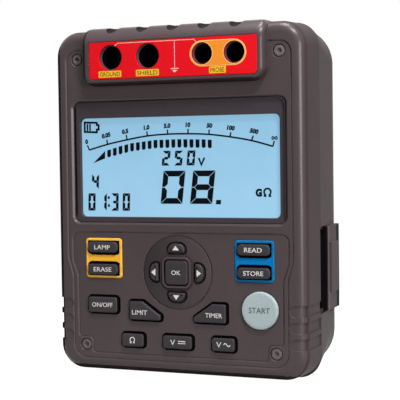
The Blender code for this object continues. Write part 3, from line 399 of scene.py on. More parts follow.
def recipe(name, inputs, outputs):
    """Empty node group with the named sockets, and its two end nodes."""
    group = bpy.data.node_groups.new(name, "ShaderNodeTree")
    kinds = {"c": "NodeSocketColor", "f": "NodeSocketFloat", "v": "NodeSocketVector"}
    for kind, label in inputs:
        group.interface.new_socket(label, in_out="INPUT", socket_type=kinds[kind])
    for kind, label in outputs:
        group.interface.new_socket(label, in_out="OUTPUT", socket_type=kinds[kind])
    return group, group.nodes.new("NodeGroupInput").outputs, group.nodes.new("NodeGroupOutput")


def noise(tree, scale, detail, where):
    made = tree.nodes.new("ShaderNodeTexNoise")
    return feed(made, {"Scale": scale, "Detail": detail, "Vector": where}).outputs["Fac"]


def spread(tree, value, low, high, to_low=0.0, to_high=1.0):
    """Value mapped from one range to another."""
    made = tree.nodes.new("ShaderNodeMapRange")
    ranges = {"From Min": low, "From Max": high, "To Min": to_low, "To Max": to_high}
    return feed(made, {"Value": value, **ranges}).outputs["Result"]


def blend_colours(tree, share, first, second, way="MIX"):
    made = tree.nodes.new("ShaderNodeMix")
    made.data_type = "RGBA"
    made.blend_type = way
    places = {socket.identifier: index for index, socket in enumerate(made.inputs)}
    feed(made, {places["Factor_Float"]: share, places["A_Color"]: first, places["B_Color"]: second})
    return next(socket for socket in made.outputs if socket.identifier == "Result_Color")


def sum_of(tree, first, second):
    made = tree.nodes.new("ShaderNodeMath")
    made.operation = "ADD"
    return feed(made, {0: first, 1: second}).outputs[0]


def object_place(tree):
    return tree.nodes.new("ShaderNodeTexCoord").outputs["Object"]


def object_axis(tree, axis):
    parts = tree.nodes.new("ShaderNodeSeparateXYZ")
    return feed(parts, {"Vector": object_place(tree)}).outputs[axis]


def moulded_grain():
    """Fine spark-eroded grain with broad, faint clouding, for every moulded piece."""
    inputs = (("c", "Colour"), ("c", "Cloud"), ("f", "Grain"), ("f", "Gloss"))
    outputs = (("c", "Colour"), ("f", "Roughness"), ("f", "Height"))
    tree, given, out = recipe("moulded_grain", inputs, outputs)
    where = object_place(tree)
    fine = noise(tree, given["Grain"], 3.0, where)
    broad = noise(tree, 42.0, 3.0, where)
    cloud = blend_colours(tree, spread(tree, broad, 0.3, 0.7), given["Colour"], given["Cloud"])
    speck = blend_colours(tree, spread(tree, fine, 0.35, 0.75), cloud, (1.35, 1.32, 1.32, 1.0), "MULTIPLY")
    rough = sum_of(tree, given["Gloss"], spread(tree, fine, 0.3, 0.7, -0.05, 0.06))
    feed(out, {"Colour": speck, "Roughness": rough, "Height": fine})
    return tree


def soft_edges():
    """Rounded shading normal along sharp edges, and a mask of where those edges are."""
    tree, given, out = recipe("soft_edges", (("f", "Radius"),), (("v", "Normal"), ("f", "Edge")))
    rounding = tree.nodes.new("ShaderNodeBevel")
    rounding.samples = 4
    soft = feed(rounding, {"Radius": given["Radius"]}).outputs["Normal"]
    true = tree.nodes.new("ShaderNodeNewGeometry").outputs["Normal"]
    dot = tree.nodes.new("ShaderNodeVectorMath")
    dot.operation = "DOT_PRODUCT"
    likeness = feed(dot, {0: soft, 1: true}).outputs["Value"]
    feed(out, {"Edge": spread(tree, likeness, 1.0, 0.8), "Normal": soft})
    return tree


def screened_ink():
    """Printed colour with a faint uneven lay and pinholes."""
    outputs = (("c", "Colour"), ("f", "Roughness"))
    tree, given, out = recipe("screened_ink", (("c", "Colour"), ("f", "Gloss")), outputs)
    where = object_place(tree)
    lay = noise(tree, 900.0, 2.0, where)
    broad = noise(tree, 60.0, 2.0, where)
    dark = blend_colours(tree, spread(tree, lay, 0.4, 0.8, 0.0, 0.12), given["Colour"], grey(0.02))
    shade = blend_colours(tree, spread(tree, broad, 0.35, 0.7), dark, (1.06, 1.04, 1.0, 1.0), "MULTIPLY")
    rough = sum_of(tree, given["Gloss"], spread(tree, lay, 0.3, 0.7, -0.04, 0.05))
    feed(out, {"Colour": shade, "Roughness": rough})
    return tree


def drawn_metal():
    """Metal with fine turning lines and a dull bloom."""
    outputs = (("c", "Colour"), ("f", "Roughness"), ("f", "Height"))
    tree, given, out = recipe("drawn_metal", (("c", "Colour"), ("f", "Gloss")), outputs)
    where = object_place(tree)
    stretch = feed(tree.nodes.new("ShaderNodeMapping"), {"Scale": (1.0, 14.0, 1.0), "Vector": where})
    lines = noise(tree, 420.0, 4.0, stretch.outputs["Vector"])
    bloom = spread(tree, noise(tree, 130.0, 3.0, where), 0.45, 0.75, 0.0, 0.4)
    dull = blend_colours(tree, bloom, given["Colour"], (0.08, 0.075, 0.07, 1.0))
    rough = sum_of(tree, given["Gloss"], spread(tree, lines, 0.3, 0.7, -0.08, 0.12))
    feed(out, {"Colour": dull, "Roughness": rough, "Height": lines})
    return tree


GRAIN = moulded_grain()
EDGES = soft_edges()
INK = screened_ink()
METAL = drawn_metal()


def surface(name):
    made = bpy.data.materials.new(name)
    made.use_nodes = True
    return made, made.node_tree, made.node_tree.nodes["Principled BSDF"]


def use_recipe(tree, group, **values):
    made = tree.nodes.new("ShaderNodeGroup")
    made.node_tree = group
    return feed(made, values).outputs


def bump(tree, height, strength, distance, normal=None):
    made = tree.nodes.new("ShaderNodeBump")
    feed(made, {"Strength": strength, "Distance": distance * MM, "Height": height})
    if normal:
        feed(made, {"Normal": normal})
    return made.outputs["Normal"]


def plastic(name, colour, cloud, gloss, grain=2600.0, specular=0.3, strength=0.35, rub=0.12):
    """Moulded plastic with a grain, soft edges and a paler rub along them."""
    made, tree, shader = surface(name)
    skin = use_recipe(tree, GRAIN, Colour=tone(*colour), Cloud=tone(*cloud), Grain=grain, Gloss=gloss)
    edge = use_recipe(tree, EDGES, Radius=0.35 * MM)
    worn = spread(tree, edge["Edge"], 0.0, 1.0, 0.0, rub)
    feed(shader, {
        "Base Color": blend_colours(tree, worn, skin["Colour"], (0.34, 0.31, 0.32, 1.0)),
        "Roughness": skin["Roughness"],
        "Specular IOR Level": specular,
        "Normal": bump(tree, skin["Height"], strength, 0.03, edge["Normal"]),
    })
    return made


def plate_plastic(name, colour, cloud, gloss=0.4):
    """Smooth coloured plate, with no rub along its edges."""
    return plastic(name, colour, cloud, gloss, grain=3000.0, specular=0.1, rub=0.0)


def dull_plastic(name, colour, cloud, gloss, specular=0.05):
    """Plastic out of the light, with no rub along its edges."""
    return plastic(name, colour, cloud, gloss, specular=specular, rub=0.0)


def ink(name, colour, gloss=0.45, specular=0.15):
    made, tree, shader = surface(name)
    lay = use_recipe(tree, INK, Colour=tone(*colour), Gloss=gloss)
    feed(shader, {"Base Color": lay["Colour"], "Roughness": lay["Roughness"]})
    feed(shader, {"Specular IOR Level": specular})
    return made


def metal(name, colour, gloss):
    made, tree, shader = surface(name)
    skin = use_recipe(tree, METAL, Colour=tone(*colour), Gloss=gloss)
    feed(shader, {"Base Color": skin["Colour"], "Roughness": skin["Roughness"], "Metallic": 1.0})
    feed(shader, {"Normal": bump(tree, skin["Height"], 0.15, 0.02)})
    return made


def dome_plastic_painted_shade():
    """Case plastic with painted shade that darkens it towards the left of the cursor dome, and a slight
    painted highlight at its right.
    """
    made = plastic("dome_plastic_painted_shade", (59, 49, 51), (63, 53, 55), 0.32, specular=0.25, strength=0.12)
    tree = made.node_tree
    shader = tree.nodes["Principled BSDF"]
    # Painted shade: darker towards the left, slightly lighter at the right
    share = spread(tree, object_axis(tree, "X"), -NAV_RADIUS * MM, NAV_RADIUS * MM)
    shade = blend_colours(tree, share, grey(0.3), grey(1.15))
    plain = shader.inputs["Base Color"].links[0].from_socket
    feed(shader, {"Base Color": blend_colours(tree, 1.0, plain, shade, "MULTIPLY")})
    return made


def lcd_glass():
    """Pale blue display: a little brighter low down, with a faint cell-gap mottle."""
    made, tree, shader = surface("lcd_glass")
    rise = spread(tree, object_axis(tree, "Z"), 92.0 * MM, 150.0 * MM)
    mottle = spread(tree, noise(tree, 55.0, 2.0, object_place(tree)), 0.3, 0.7, -0.15, 0.15)
    glow = blend_colours(tree, sum_of(tree, rise, mottle), tone(163, 213, 243), tone(150, 201, 231))
    feed(shader, {
        "Base Color": blend_colours(tree, 1.0, glow, grey(0.24), "MULTIPLY"),
        "Emission Color": glow,
        "Emission Strength": 0.72,
        "Roughness": 0.4,
        "Specular IOR Level": 0.15,
    })
    return made


def clear_lens():
    """Thin hard-coated window, nearly invisible but for its sheen."""
    made, tree, shader = surface("clear_lens")
    haze = noise(tree, 140.0, 3.0, object_place(tree))
    feed(shader, {
        "Base Color": tone(200, 225, 240),
        "Alpha": spread(tree, haze, 0.3, 0.7, 0.002, 0.006),
        "Roughness": spread(tree, haze, 0.3, 0.7, 0.08, 0.16),
        "Specular IOR Level": 0.1,
    })
    return made


def circuit_board():
    """Green board with a faint run of copper tracks under the lacquer."""
    made, tree, shader = surface("board_lacquer")
    where = object_place(tree)
    tracks = feed(tree.nodes.new("ShaderNodeTexBrick"), {
        "Vector": where,
        "Scale": 90.0,
        "Color1": tone(24, 96, 58),
        "Color2": tone(30, 108, 66),
        "Mortar": tone(60, 140, 84),
    })
    rough = spread(tree, noise(tree, 300.0, 2.0, where), 0.3, 0.7, 0.3, 0.45)
    feed(shader, {"Base Color": tracks.outputs["Color"], "Roughness": rough})
    return made


CASE = plastic("case_plastic", (61, 50, 52), (66, 54, 56), 0.31, strength=0.12)
DOME_PAINTED_SHADE = dome_plastic_painted_shade()
CASE_REAR = plastic("rear_case_plastic", (60, 50, 51), (65, 54, 55), 0.5, specular=0.05)
COVER = plastic("cover_plastic", (67, 57, 58), (73, 62, 63), 0.5, specular=0.05)
# Painted highlight: pale skin for the strip along the cover's front edge
COVER_PAINTED_HIGHLIGHT = plastic("cover_painted_highlight_plastic", (96, 84, 86), (102, 90, 92), 0.5, specular=0.05)
BEZEL = plastic("frame_plastic", (56, 50, 54), (60, 54, 58), 0.5, 3200.0, 0.15, rub=0.05)
KEYCAP = plastic("key_plastic", (47, 43, 47), (52, 48, 51), 0.4, 3400.0, 0.2, rub=0.10)
ROUND_KEYCAP = plastic("round_key_plastic", (162, 177, 179), (168, 182, 184), 0.5, 3400.0, 0.15, rub=0.05)
SCREW_SKIN = plastic("screw_finish", (92, 82, 84), (100, 90, 92), 0.4, specular=0.2, rub=0.15)
RUBBER = plastic("mat_rubber", (60, 60, 60), (68, 68, 68), 0.75, rub=0.0)
FERRITE = plastic("core_ferrite", (50, 48, 50), (60, 58, 60), 0.7, rub=0.05)
DIFFUSER = plastic("diffuser_plastic", (225, 232, 235), (232, 238, 240), 0.5, rub=0.0)
RED = plate_plastic("red_panel_plastic", (224, 21, 32), (217, 19, 30), 0.42)
YELLOW = plate_plastic("yellow_plate_plastic", (255, 190, 60), (253, 184, 54))
YELLOW_RIM = plate_plastic("yellow_rim_plastic", (250, 196, 100), (248, 190, 90))
BLUE = plate_plastic("blue_plate_plastic", (6, 124, 192), (4, 116, 184))
BLUE_RIM = plate_plastic("blue_rim_plastic", (24, 112, 160), (18, 104, 152))
# Painted shade: the case colour with no sheen, for the left rim, the underside and the terminal block's left
# and lower walls
SHADE_SKIN = dull_plastic("case_plastic_painted_shade", (60, 50, 51), (65, 54, 55), 0.6, 0.0)
# Painted shade: near-black skin for the notch hollows on the terminal block
NOTCH_PAINTED_SHADE = dull_plastic("notch_painted_shade", (20, 17, 18), (24, 20, 21), 0.6)
BLACK = dull_plastic("black_plastic", (8, 7, 9), (11, 10, 12), 0.6)
COLLAR = dull_plastic("well_collar_plastic", (92, 64, 78), (100, 70, 84), 0.5, 0.1)
# Painted shade: near-black metal for the contacts deep in the wells
CONTACT_PAINTED_SHADE = metal("contact_metal_painted_shade", (26, 22, 18), 0.5)
# Painted shade: steel darkened for the data socket deep in the port bay
SOCKET_PAINTED_SHADE = metal("socket_metal_painted_shade", (56, 56, 60), 0.4)
CELL_CAN = metal("cell_can", (130, 132, 138), 0.35)
STEEL = metal("screw_steel", (150, 150, 152), 0.35)
LCD_BLUE = lcd_glass()
LENS = clear_lens()
BOARD = circuit_board()
WHITE_INK = ink("white_ink", (232, 230, 228))
PINK_INK = ink("line_ink", (255, 190, 184))
GREY_INK = ink("grey_ink", (74, 82, 84))
DARK_INK = ink("tag_ink", (120, 66, 18))
TAG_INK = ink("tag_yellow", (246, 196, 52))
ORANGE_INK = ink("orange_field", (242, 147, 46))
PALE_INK = ink("pale_ring", (255, 205, 120))
SEGMENT_INK = ink("segment_ink", (2, 4, 9), 0.6, specular=0.0)


def place(made, body, skin, nodes=(), crease=30):
    """Gives a piece its surface and shading and seats it on its body."""
    made.data.materials.clear()
    made.data.materials.append(skin)
    made.data.shade_smooth()
    made.data.set_sharp_from_angle(angle=math.radians(crease))
    even = made.modifiers.new("even_normals", "WEIGHTED_NORMAL")
    even.keep_sharp = True
    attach(made, body)
    if nodes:
        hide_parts(*nodes)
    return made


# Case
# Sections of the terminal block: depth, how far its sides, underside and top stand in, and its low corners
BLOCK_SECTIONS = (
    (BLOCK_FRONT, 3.4, 2.6, 8.4, 5.0), (-5.6, 1.6, 1.1, 6.4, 6.5), (-3.5, 0.4, 0.3, 3.6, 7.5),
    (-0.5, 0.0, 0.0, 1.0, 8.0), (3.5, 0.0, 0.0, 0.0, 8.0), (24.7, 0.0, 0.0, 0.0, 8.0),
)
# Right-hand corners of the two fields of the face: x, z and radius
RIM_CORNERS = [(66.5, 9.3, 7.9), (66.5, 58.3, 9.0), (69.5, 68.2, 9.0), (69.1, 190.0, 6.5)]
KEY_FIELD_CORNERS = [
    (54.5, 12.6, 1.6), (54.5, 21.6, 2.2), (63.5, 21.6, 2.0),
    (63.5, 57.6, 8.0), (66.8, 66.8, 8.0), (66.8, 83.5, 4.4),
]
# Radius and depth, from the recess in the head to the tip
SCREW_PROFILE = (
    (1.3, 1.8), (1.3, 0.95), (1.5, 0.75), (2.3, 0.7), (2.9, 0.85),
    (3.2, 1.2), (3.2, 2.1), (1.5, 2.1), (1.5, 37.3),
)


def case_outline(half_width, low, high, radius, inset=0.0, steps=12):
    return rounded(rectangle(0, (low + high) / 2, 2 * half_width, high - low), radius, steps, inset)


def front_loop(depth, inset):
    share = depth / FRONT_DEPTH
    draft = FRONT_DRAFT * (1 - share)
    low, high = FRONT_LIFT + draft, HEIGHT - FRONT_DROP - draft
    corner = FRONT_CORNER + (PARTING_CORNER - FRONT_CORNER) * share
    return ring(case_outline(HALF_WIDTH - draft, low, high, corner, inset), depth)


def rear_loop(depth, inset):
    along = max(depth - PARTING, 0.0)
    share = min(along / REAR_STRAIGHT, 1.0)
    rise = max(along - REAR_STRAIGHT, 0.0) / REAR_CROWN
    crown = 1 - math.sqrt(max(1 - rise * rise, 0.0))
    foot = max(depth - BACK_DEPTH + FOOT_ROUND_DEPTH, 0.0) / FOOT_ROUND_DEPTH
    lift = 1 - math.sqrt(max(1 - foot * foot, 0.0))
    half_width = HALF_WIDTH - REAR_DRAFT * share - CROWN_SIDE * crown
    top = PARTING_CORNER + (REAR_TOP_CORNER - PARTING_CORNER) * share - CROWN_CORNER * crown
    base = PARTING_CORNER + (REAR_FOOT_CORNER - PARTING_CORNER) * share - CROWN_CORNER * crown
    low, high = FOOT_ROUND * lift, HEIGHT - CROWN_TOP * crown
    return ring(case_outline(half_width, low, high, (base, base, top, top), inset), depth)


def field_outline(corners):
    """Field of the face: right-hand corners, listed from the low middle upwards, and their mirror image."""
    corners = corners + [(-x, z, radius) for x, z, radius in reversed(corners)]
    return rounded([corner[:2] for corner in corners], tuple(corner[2] for corner in corners), 6)


def cut_field(shell, outline, top, depth):
    """Sinks a field with a sloped edge into the face."""
    above = 1.2
    slope = FIELD_SLOPE / (depth - top)
    levels = ((top - above, FIELD_SLOPE + above * slope), (top, FIELD_SLOPE), (depth, 0.0))
    combine(shell, [solid("field", [ring(grown(outline, wider), level) for level, wider in levels])])


def cut_trench(shell, outline, floor):
    """Fine line along the edge of a field."""
    inside = grown(outline, -TRENCH_WIDTH)
    combine(shell, [band("trench", outline, inside, floor - TRENCH_LEAD, floor + TRENCH_DEPTH)])


def terminal_block():
    """Crowned block that carries the jacks: smooth sections that grow back from its flat front."""
    stations = [Vector(section) for section in BLOCK_SECTIONS]
    last = len(stations) - 1
    sections = []
    for index in range(last):
        before, after = stations[max(index - 1, 0)], stations[min(index + 2, last)]
        first, second = stations[index], stations[index + 1]
        leave, arrive = (second - before) / 2, (after - first) / 2
        if index == BLOCK_CROWN_RUNS - 1:
            arrive = second - first
        for step in range(BLOCK_CROWN_STEPS if index < BLOCK_CROWN_RUNS else 1):
            t = step / BLOCK_CROWN_STEPS
            section = first * (2 * t**3 - 3 * t**2 + 1) + leave * (t**3 - 2 * t**2 + t)
            section += second * (3 * t**2 - 2 * t**3) + arrive * (t**3 - t**2)
            sections.append(section)
    sections.append(stations[-1])
    loops = []
    for depth, side, under, over, corner in sections:
        half_width = BLOCK_HALF_WIDTH - max(side, 0.0)
        low, high = BLOCK_LOW + max(under, 0.0), BLOCK_HIGH - max(over, 0.0)
        corners = (corner, corner, BLOCK_TOP_CORNER, BLOCK_TOP_CORNER)
        loops.append(ring(case_outline(half_width, low, high, corners, steps=8), depth))
    return solid("terminal_block", loops)


def edge_round_loops(sunk):
    """Loops round the front edge, sunk below its surface."""
    loops = []
    for turn in sweep(0.0, math.pi / 2, EDGE_STEPS + 1):
        inset = EDGE_ROUND * (1 - math.sin(turn)) + sunk
        loops.append(front_loop(EDGE_ROUND * (1 - math.cos(turn)) + sunk, inset))
    return loops


def grip_cutter(side, z):
    """Finger slot with a round inner end, cut to one depth round the front edge and along the side."""
    half, centre, outside = GRIP_HEIGHT / 2, GRIP_START + GRIP_HEIGHT / 2, HALF_WIDTH + OVERSHOOT
    outline = [(side * outside, z + half), (side * outside, z - half)]
    for turn in sweep(-math.pi / 2, math.pi / 2, 17):
        outline.append((side * (centre - half * math.cos(turn)), z + half * math.sin(turn)))
    slot = slab("grip", outline, -OVERSHOOT, FRONT_DEPTH + OVERSHOOT)
    back = front_loop(FRONT_DEPTH + 2 * OVERSHOOT, GRIP_DEPTH)
    return combine(slot, [solid("core", edge_round_loops(GRIP_DEPTH) + [back])])


def key_outlines():
    """Name, corner polygon and corner radius of every push key."""
    bar, across, upright, outer = (20.8, 7.6), (11.6, 6.2), (6.2, 11.6), (15.1, 8.8)
    small, large = 1.3, 4.4
    wing = [(-30.6, 32.4), (-9.6, 32.4), (-9.6, 36.2), (-21.4, 44.4), (-30.6, 44.4)]
    return {
        "key_lamp": (rectangle(-PLATE_X, BAR_KEY_HIGH_Z, *bar), 3.0),
        "key_erase": (rectangle(-PLATE_X, BAR_KEY_LOW_Z, *bar), 3.0),
        "key_read": (rectangle(PLATE_X, BAR_KEY_HIGH_Z, *bar), 3.0),
        "key_store": (rectangle(PLATE_X, BAR_KEY_LOW_Z, *bar), 3.0),
        "key_power": (rectangle(POWER_KEY_X, MIDDLE_ROW_Z, 20.0, 10.4), 2.2),
        "key_limit": (wing, 1.6),
        "key_timer": ([(-x, z) for x, z in reversed(wing)], 1.6),
        "key_up": (rectangle(0, NAV_Z + NAV_REACH, *across), (small, small, large, large)),
        "key_down": (rectangle(0, NAV_Z - NAV_REACH, *across), (large, large, small, small)),
        "key_left": (rectangle(-NAV_REACH, NAV_Z, *upright), (large, small, small, large)),
        "key_right": (rectangle(NAV_REACH, NAV_Z, *upright), (small, large, large, small)),
        "key_enter": (rectangle(0, NAV_Z, 14.3, 14.3), 2.2),
        "key_test": (rectangle(TEST_KEY_X, MIDDLE_ROW_Z, 21.1, 21.1), 10.45),
        "key_ohms": (rectangle(-OUTER_KEY_X, LOW_ROW_Z, *outer), 2.2),
        "key_dc_volts": (rectangle(0, LOW_ROW_Z, 19.3, 8.8), 2.2),
        "key_ac_volts": (rectangle(OUTER_KEY_X, LOW_ROW_Z, *outer), 2.2),
    }


KEYS = key_outlines()
ARROWS = ("key_up", "key_down", "key_left", "key_right")
BAR_KEYS = ("key_lamp", "key_erase", "key_read", "key_store")
RED_PANEL = (rectangle(0.8, 182.65, 102.7, 21.3), (2.4, 2.4, 0.8, 0.8))


def plate_outline(side):
    return rectangle(side * PLATE_X, PLATE_Z, PLATE_SIZE, PLATE_SIZE)


def cursor_dome():
    """Low dome that carries the cursor keys."""
    rim = NAV_RADIUS - NAV_GAP
    profile = [(rim, KEY_FIELD_DEPTH + DOME_FOOT), (rim, KEY_FIELD_DEPTH + DOME_EDGE)]
    for index in range(1, DOME_STEPS):
        radius = rim * (1 - index / DOME_STEPS)
        profile.append((radius, KEY_FIELD_DEPTH - DOME_RISE * (1 - (radius / rim) ** 2)))
    return turned("cursor_dome", 0, NAV_Z, profile, 96)


def face_openings():
    """Cutters for the screen opening with its sloped edge, the key openings and the screw pockets."""
    slope, face = SCREEN_EDGE_DEPTH, FIELD_DEPTH
    levels = (
        (face - slope, -2 * SCREEN_EDGE_WIDTH), (face, -SCREEN_EDGE_WIDTH),
        (face + slope, 0.0), (HOLE_BACK, 0.0),
    )
    tools = [stepped("screen_hole", rectangle(*SCREEN), SCREEN_CORNER, levels)]
    for name, key in KEYS.items():
        gap = BAR_KEY_GAP if name in BAR_KEYS else KEY_GAP
        tools.append(round_slab("key_hole", *key, gap, -OVERSHOOT, HOLE_BACK))
    rim = POCKET_RADIUS + POCKET_RIM
    pocket = [(rim, face - 1.0), (rim, face)]
    pocket += [(POCKET_RADIUS, face + POCKET_RIM), (POCKET_RADIUS, POCKET_FLOOR)]
    return tools + [turned("pocket", x, z, pocket, 40) for x, z in SCREWS]


def face_seats():
    """Cutters for the seats of the plates and the panel, the notches and the finger grips."""
    seats = []
    for side in (-1, 1):
        outline = plate_outline(side)
        seats.append(
            round_slab("plate_seat", outline, PLATE_CORNER, SEAT_GAP, -OVERSHOOT, PLATE_SEAT_DEPTH, 6)
        )
    front, back = BLOCK_FRONT - OVERSHOOT, BLOCK_FRONT + PANEL_SEAT_DEPTH
    seats.append(round_slab("panel_seat", *RED_PANEL, SEAT_GAP, front, back))
    ends = ((NOTCH_FRONT_DEPTH, NOTCH_FRONT_Z), (NOTCH_BACK_DEPTH, NOTCH_BACK_Z))
    for index in range(-NOTCH_SIDE_COUNT, NOTCH_SIDE_COUNT + 1):
        x = NOTCH_PITCH * index
        seats.append(solid("notch", [ring(circle(x, z, NOTCH_RADIUS, 40), depth) for depth, z in ends]))
    for side in (-1, 1):
        for index in range(GRIP_COUNT):
            seats.append(grip_cutter(side, GRIP_LOW_Z + GRIP_PITCH * index))
    return seats


def front_shell():
    shell = solid("front_housing", edge_round_loops(0.0) + [front_loop(FRONT_DEPTH, 0.0)])
    outer, inner = field_outline(RIM_CORNERS), field_outline(KEY_FIELD_CORNERS)
    cut_field(shell, outer, 0.0, FIELD_DEPTH)
    cut_field(shell, inner, FIELD_DEPTH, KEY_FIELD_DEPTH)
    cut_trench(shell, outer, FIELD_DEPTH)
    cut_trench(shell, inner, KEY_FIELD_DEPTH)
    combine(shell, [terminal_block()], "UNION")
    hollow = [front_loop(FACE_INSIDE, WALL + INSIDE_SLOPE), front_loop(FACE_INSIDE + INSIDE_ROUND, WALL)]
    hollow.append(front_loop(FRONT_DEPTH + OVERSHOOT, WALL))
    combine(shell, [solid("hollow", hollow)])
    combine(shell, face_openings())
    outside, floor = NAV_RADIUS + NAV_GAP, KEY_FIELD_DEPTH + NAV_GROOVE
    groove = ((outside, KEY_FIELD_DEPTH - DOME_CLEAR), (outside, floor), (NAV_RADIUS - NAV_LAP, floor))
    combine(shell, [turned("dome_groove", 0, NAV_Z, groove, 96)])
    combine(shell, [cursor_dome()], "UNION")
    holes = []
    for name in ARROWS + ("key_enter",):
        holes.append(round_slab("key_hole", *KEYS[name], KEY_GAP, -2 * OVERSHOOT, HOLE_BACK))
    combine(shell, holes)
    combine(shell, face_seats())
    opening = rounded(rectangle(0, JACK_Z, *JACK_OPENING), JACK_HOUSING_CORNER, 3)
    return combine(shell, [slab("jack_opening", opening, BLOCK_FRONT - OVERSHOOT, HOLE_BACK)])


def rear_shell():
    lip = WALL + SHELL_GAP
    loops = [front_loop(PARTING - LIP_REACH, lip), front_loop(PARTING, lip)]
    loops += [rear_loop(PARTING, PARTING_EDGE), rear_loop(PARTING + PARTING_EDGE, 0.0)]
    hollow = [front_loop(PARTING - LIP_REACH - OVERSHOOT, LIP_INSIDE)]
    hollow += [front_loop(PARTING + LIP_ROOT, LIP_INSIDE)]
    hollow += [rear_loop(PARTING + WALL, LIP_INSIDE), rear_loop(PARTING + LIP_END, WALL)]
    crown_start = PARTING + REAR_STRAIGHT
    for index, turn in enumerate(sweep(0.0, math.pi / 2, CROWN_STEPS + 1)):
        loops.append(rear_loop(crown_start + REAR_CROWN * math.sin(turn), 0.0))
        if index < CROWN_STEPS:
            hollow.append(rear_loop(crown_start + (REAR_CROWN - WALL) * math.sin(turn), WALL))
    hollow.append(rear_loop(BACK_DEPTH - WALL, WALL + 1.0))
    shell = solid("rear_housing", loops)
    inside = solid("hollow", hollow)
    combine(inside, [block("bay_walls", *BAY_WALLS)])
    combine(inside, [block("backing", *COVER_BACKING)])
    combine(shell, [inside])
    combine(shell, [block("bay", *BAY)])
    combine(shell, [block("pocket", *COVER_POCKET)])
    combine(shell, [block("groove", *COVER_GROOVE)])
    for z_range in SOCKET_Z:
        combine(shell, [block("socket_hole", (54.7, 60.1), SOCKET_DEPTH, z_range)])
    back = BACK_DEPTH + OVERSHOOT
    outline = rectangle(*BATTERY_COVER)
    hole = round_slab("battery_hole", outline, BATTERY_COVER_CORNER, SHELL_GAP, BATTERY_HOLE_FRONT, back, 6)
    return combine(shell, [hole])


def battery_cover():
    """Flat cover with a rounded edge, a screw pocket and four finger grooves."""
    levels = ((84.3, 0.0), (86.0, 0.0), (86.35, 0.15), (BACK_DEPTH, 0.5))
    cover = stepped("battery_cover_finish", rectangle(*BATTERY_COVER), BATTERY_COVER_CORNER, levels, 6)
    combine(cover, [rod("pocket", 0, BATTERY_SCREW_Z, 4.1, 85.5, BACK_DEPTH + OVERSHOOT, 40)])
    combine(cover, [rod("bore", 0, BATTERY_SCREW_Z, 1.8, 80.0, 86.0, 24)])
    grooves = []
    for row in range(4):
        z_range = (100.0 + 3.6 * row, 101.6 + 3.6 * row)
        grooves.append(block("finger_groove", (-16.0, 16.0), (86.0, 88.0), z_range))
    return combine(cover, grooves)


def off_notch(x, depth, z):
    """Distance of a point from the surface of the nearest notch."""
    slope = (NOTCH_BACK_Z - NOTCH_FRONT_Z) / (NOTCH_BACK_DEPTH - NOTCH_FRONT_DEPTH)
    axis = NOTCH_FRONT_Z + slope * (depth - NOTCH_FRONT_DEPTH)
    nearest = NOTCH_PITCH * max(-NOTCH_SIDE_COUNT, min(NOTCH_SIDE_COUNT, round(x / NOTCH_PITCH)))
    return abs(math.hypot(x - nearest, z - axis) - NOTCH_RADIUS)


def panel_place(point):
    """A mesh point as x, depth and z in millimetres."""
    return point.x / MM, point.y / MM - FACE_Y, point.z / MM


def part_skins(shell):
    """Own skins for the notches on the terminal block, the sides and underside, and the cursor dome: painted
    shade in the notches, on the left rim, undersides and dome, and a shaded low-sheen copy on the sides.
    """
    for skin in (NOTCH_PAINTED_SHADE, CASE_REAR, DOME_PAINTED_SHADE, SHADE_SKIN):
        shell.data.materials.append(skin)
    notch, side, dome, shade = range(1, 5)
    points = [panel_place(vertex.co) for vertex in shell.data.vertices]
    for face in shell.data.polygons:
        corners = [points[index] for index in face.vertices]
        x, depth, z = panel_place(face.center)
        # Painted shade inside the notches
        if all(off_notch(*point) < NOTCH_NEAR for point in corners + [(x, depth, z)]):
            face.material_index = notch
        # Painted shade on the left rim, the underside and the terminal block's left and lower walls
        elif depth < EDGE_ROUND and (z < UNDER_SKIN_Z or x < LEFT_SKIN_X):
            face.material_index = shade
        elif depth < BLOCK_SKIN_DEPTH and (z < BLOCK_UNDER_Z or x < BLOCK_LEFT_X):
            face.material_index = shade
        # Shaded copy: the sides take the low-sheen rear skin, which darkens them
        elif depth > SIDE_SKIN_DEPTH:
            face.material_index = side
        # Painted shade across the cursor dome
        elif all(math.dist((corner[0], corner[2]), (0.0, NAV_Z)) < NAV_RADIUS for corner in corners):
            face.material_index = dome


def build_case():
    shell = place(front_shell(), "root", CASE, ("front_shell",))
    part_skins(shell)
    place(rear_shell(), "root", CASE_REAR, ("rear_shell",))
    for index, (x, z) in enumerate(SCREWS):
        name = f"case_screw_{index + 1}"
        place(turned(name + "_finish", x, z, SCREW_PROFILE, 40), "root", SCREW_SKIN, (name,))
    place(battery_cover(), "root", CASE_REAR, ("battery_cover",))


# Display
# Depth of the scoop round the screen, and how far it stands in from the right and from the top
SCOOP_LEVELS = ((0.5, 0.4, 0.4), (1.4, 0.5, 0.7), (1.9, 0.7, 1.5), (2.2, 1.0, 2.9), (2.4, 1.5, 5.0))
SCOOP_LEFT = -6.0
SCALE_ARC = (
    (-57.6, 131.7), (-45.6, 134.8), (-32.8, 137.3), (-19.9, 139.3), (-6.9, 140.1),
    (5.7, 140.1), (18.5, 139.5), (31.2, 137.9), (44.1, 135.6), (56.6, 132.2),
)
SCALE_TIPS = (
    (-58.8, 134.5), (-45.9, 137.6), (-33.3, 140.1), (-20.0, 141.9), (-7.1, 142.7),
    (5.8, 142.9), (18.8, 142.2), (31.9, 140.5), (45.1, 138.3), (57.4, 135.2),
)
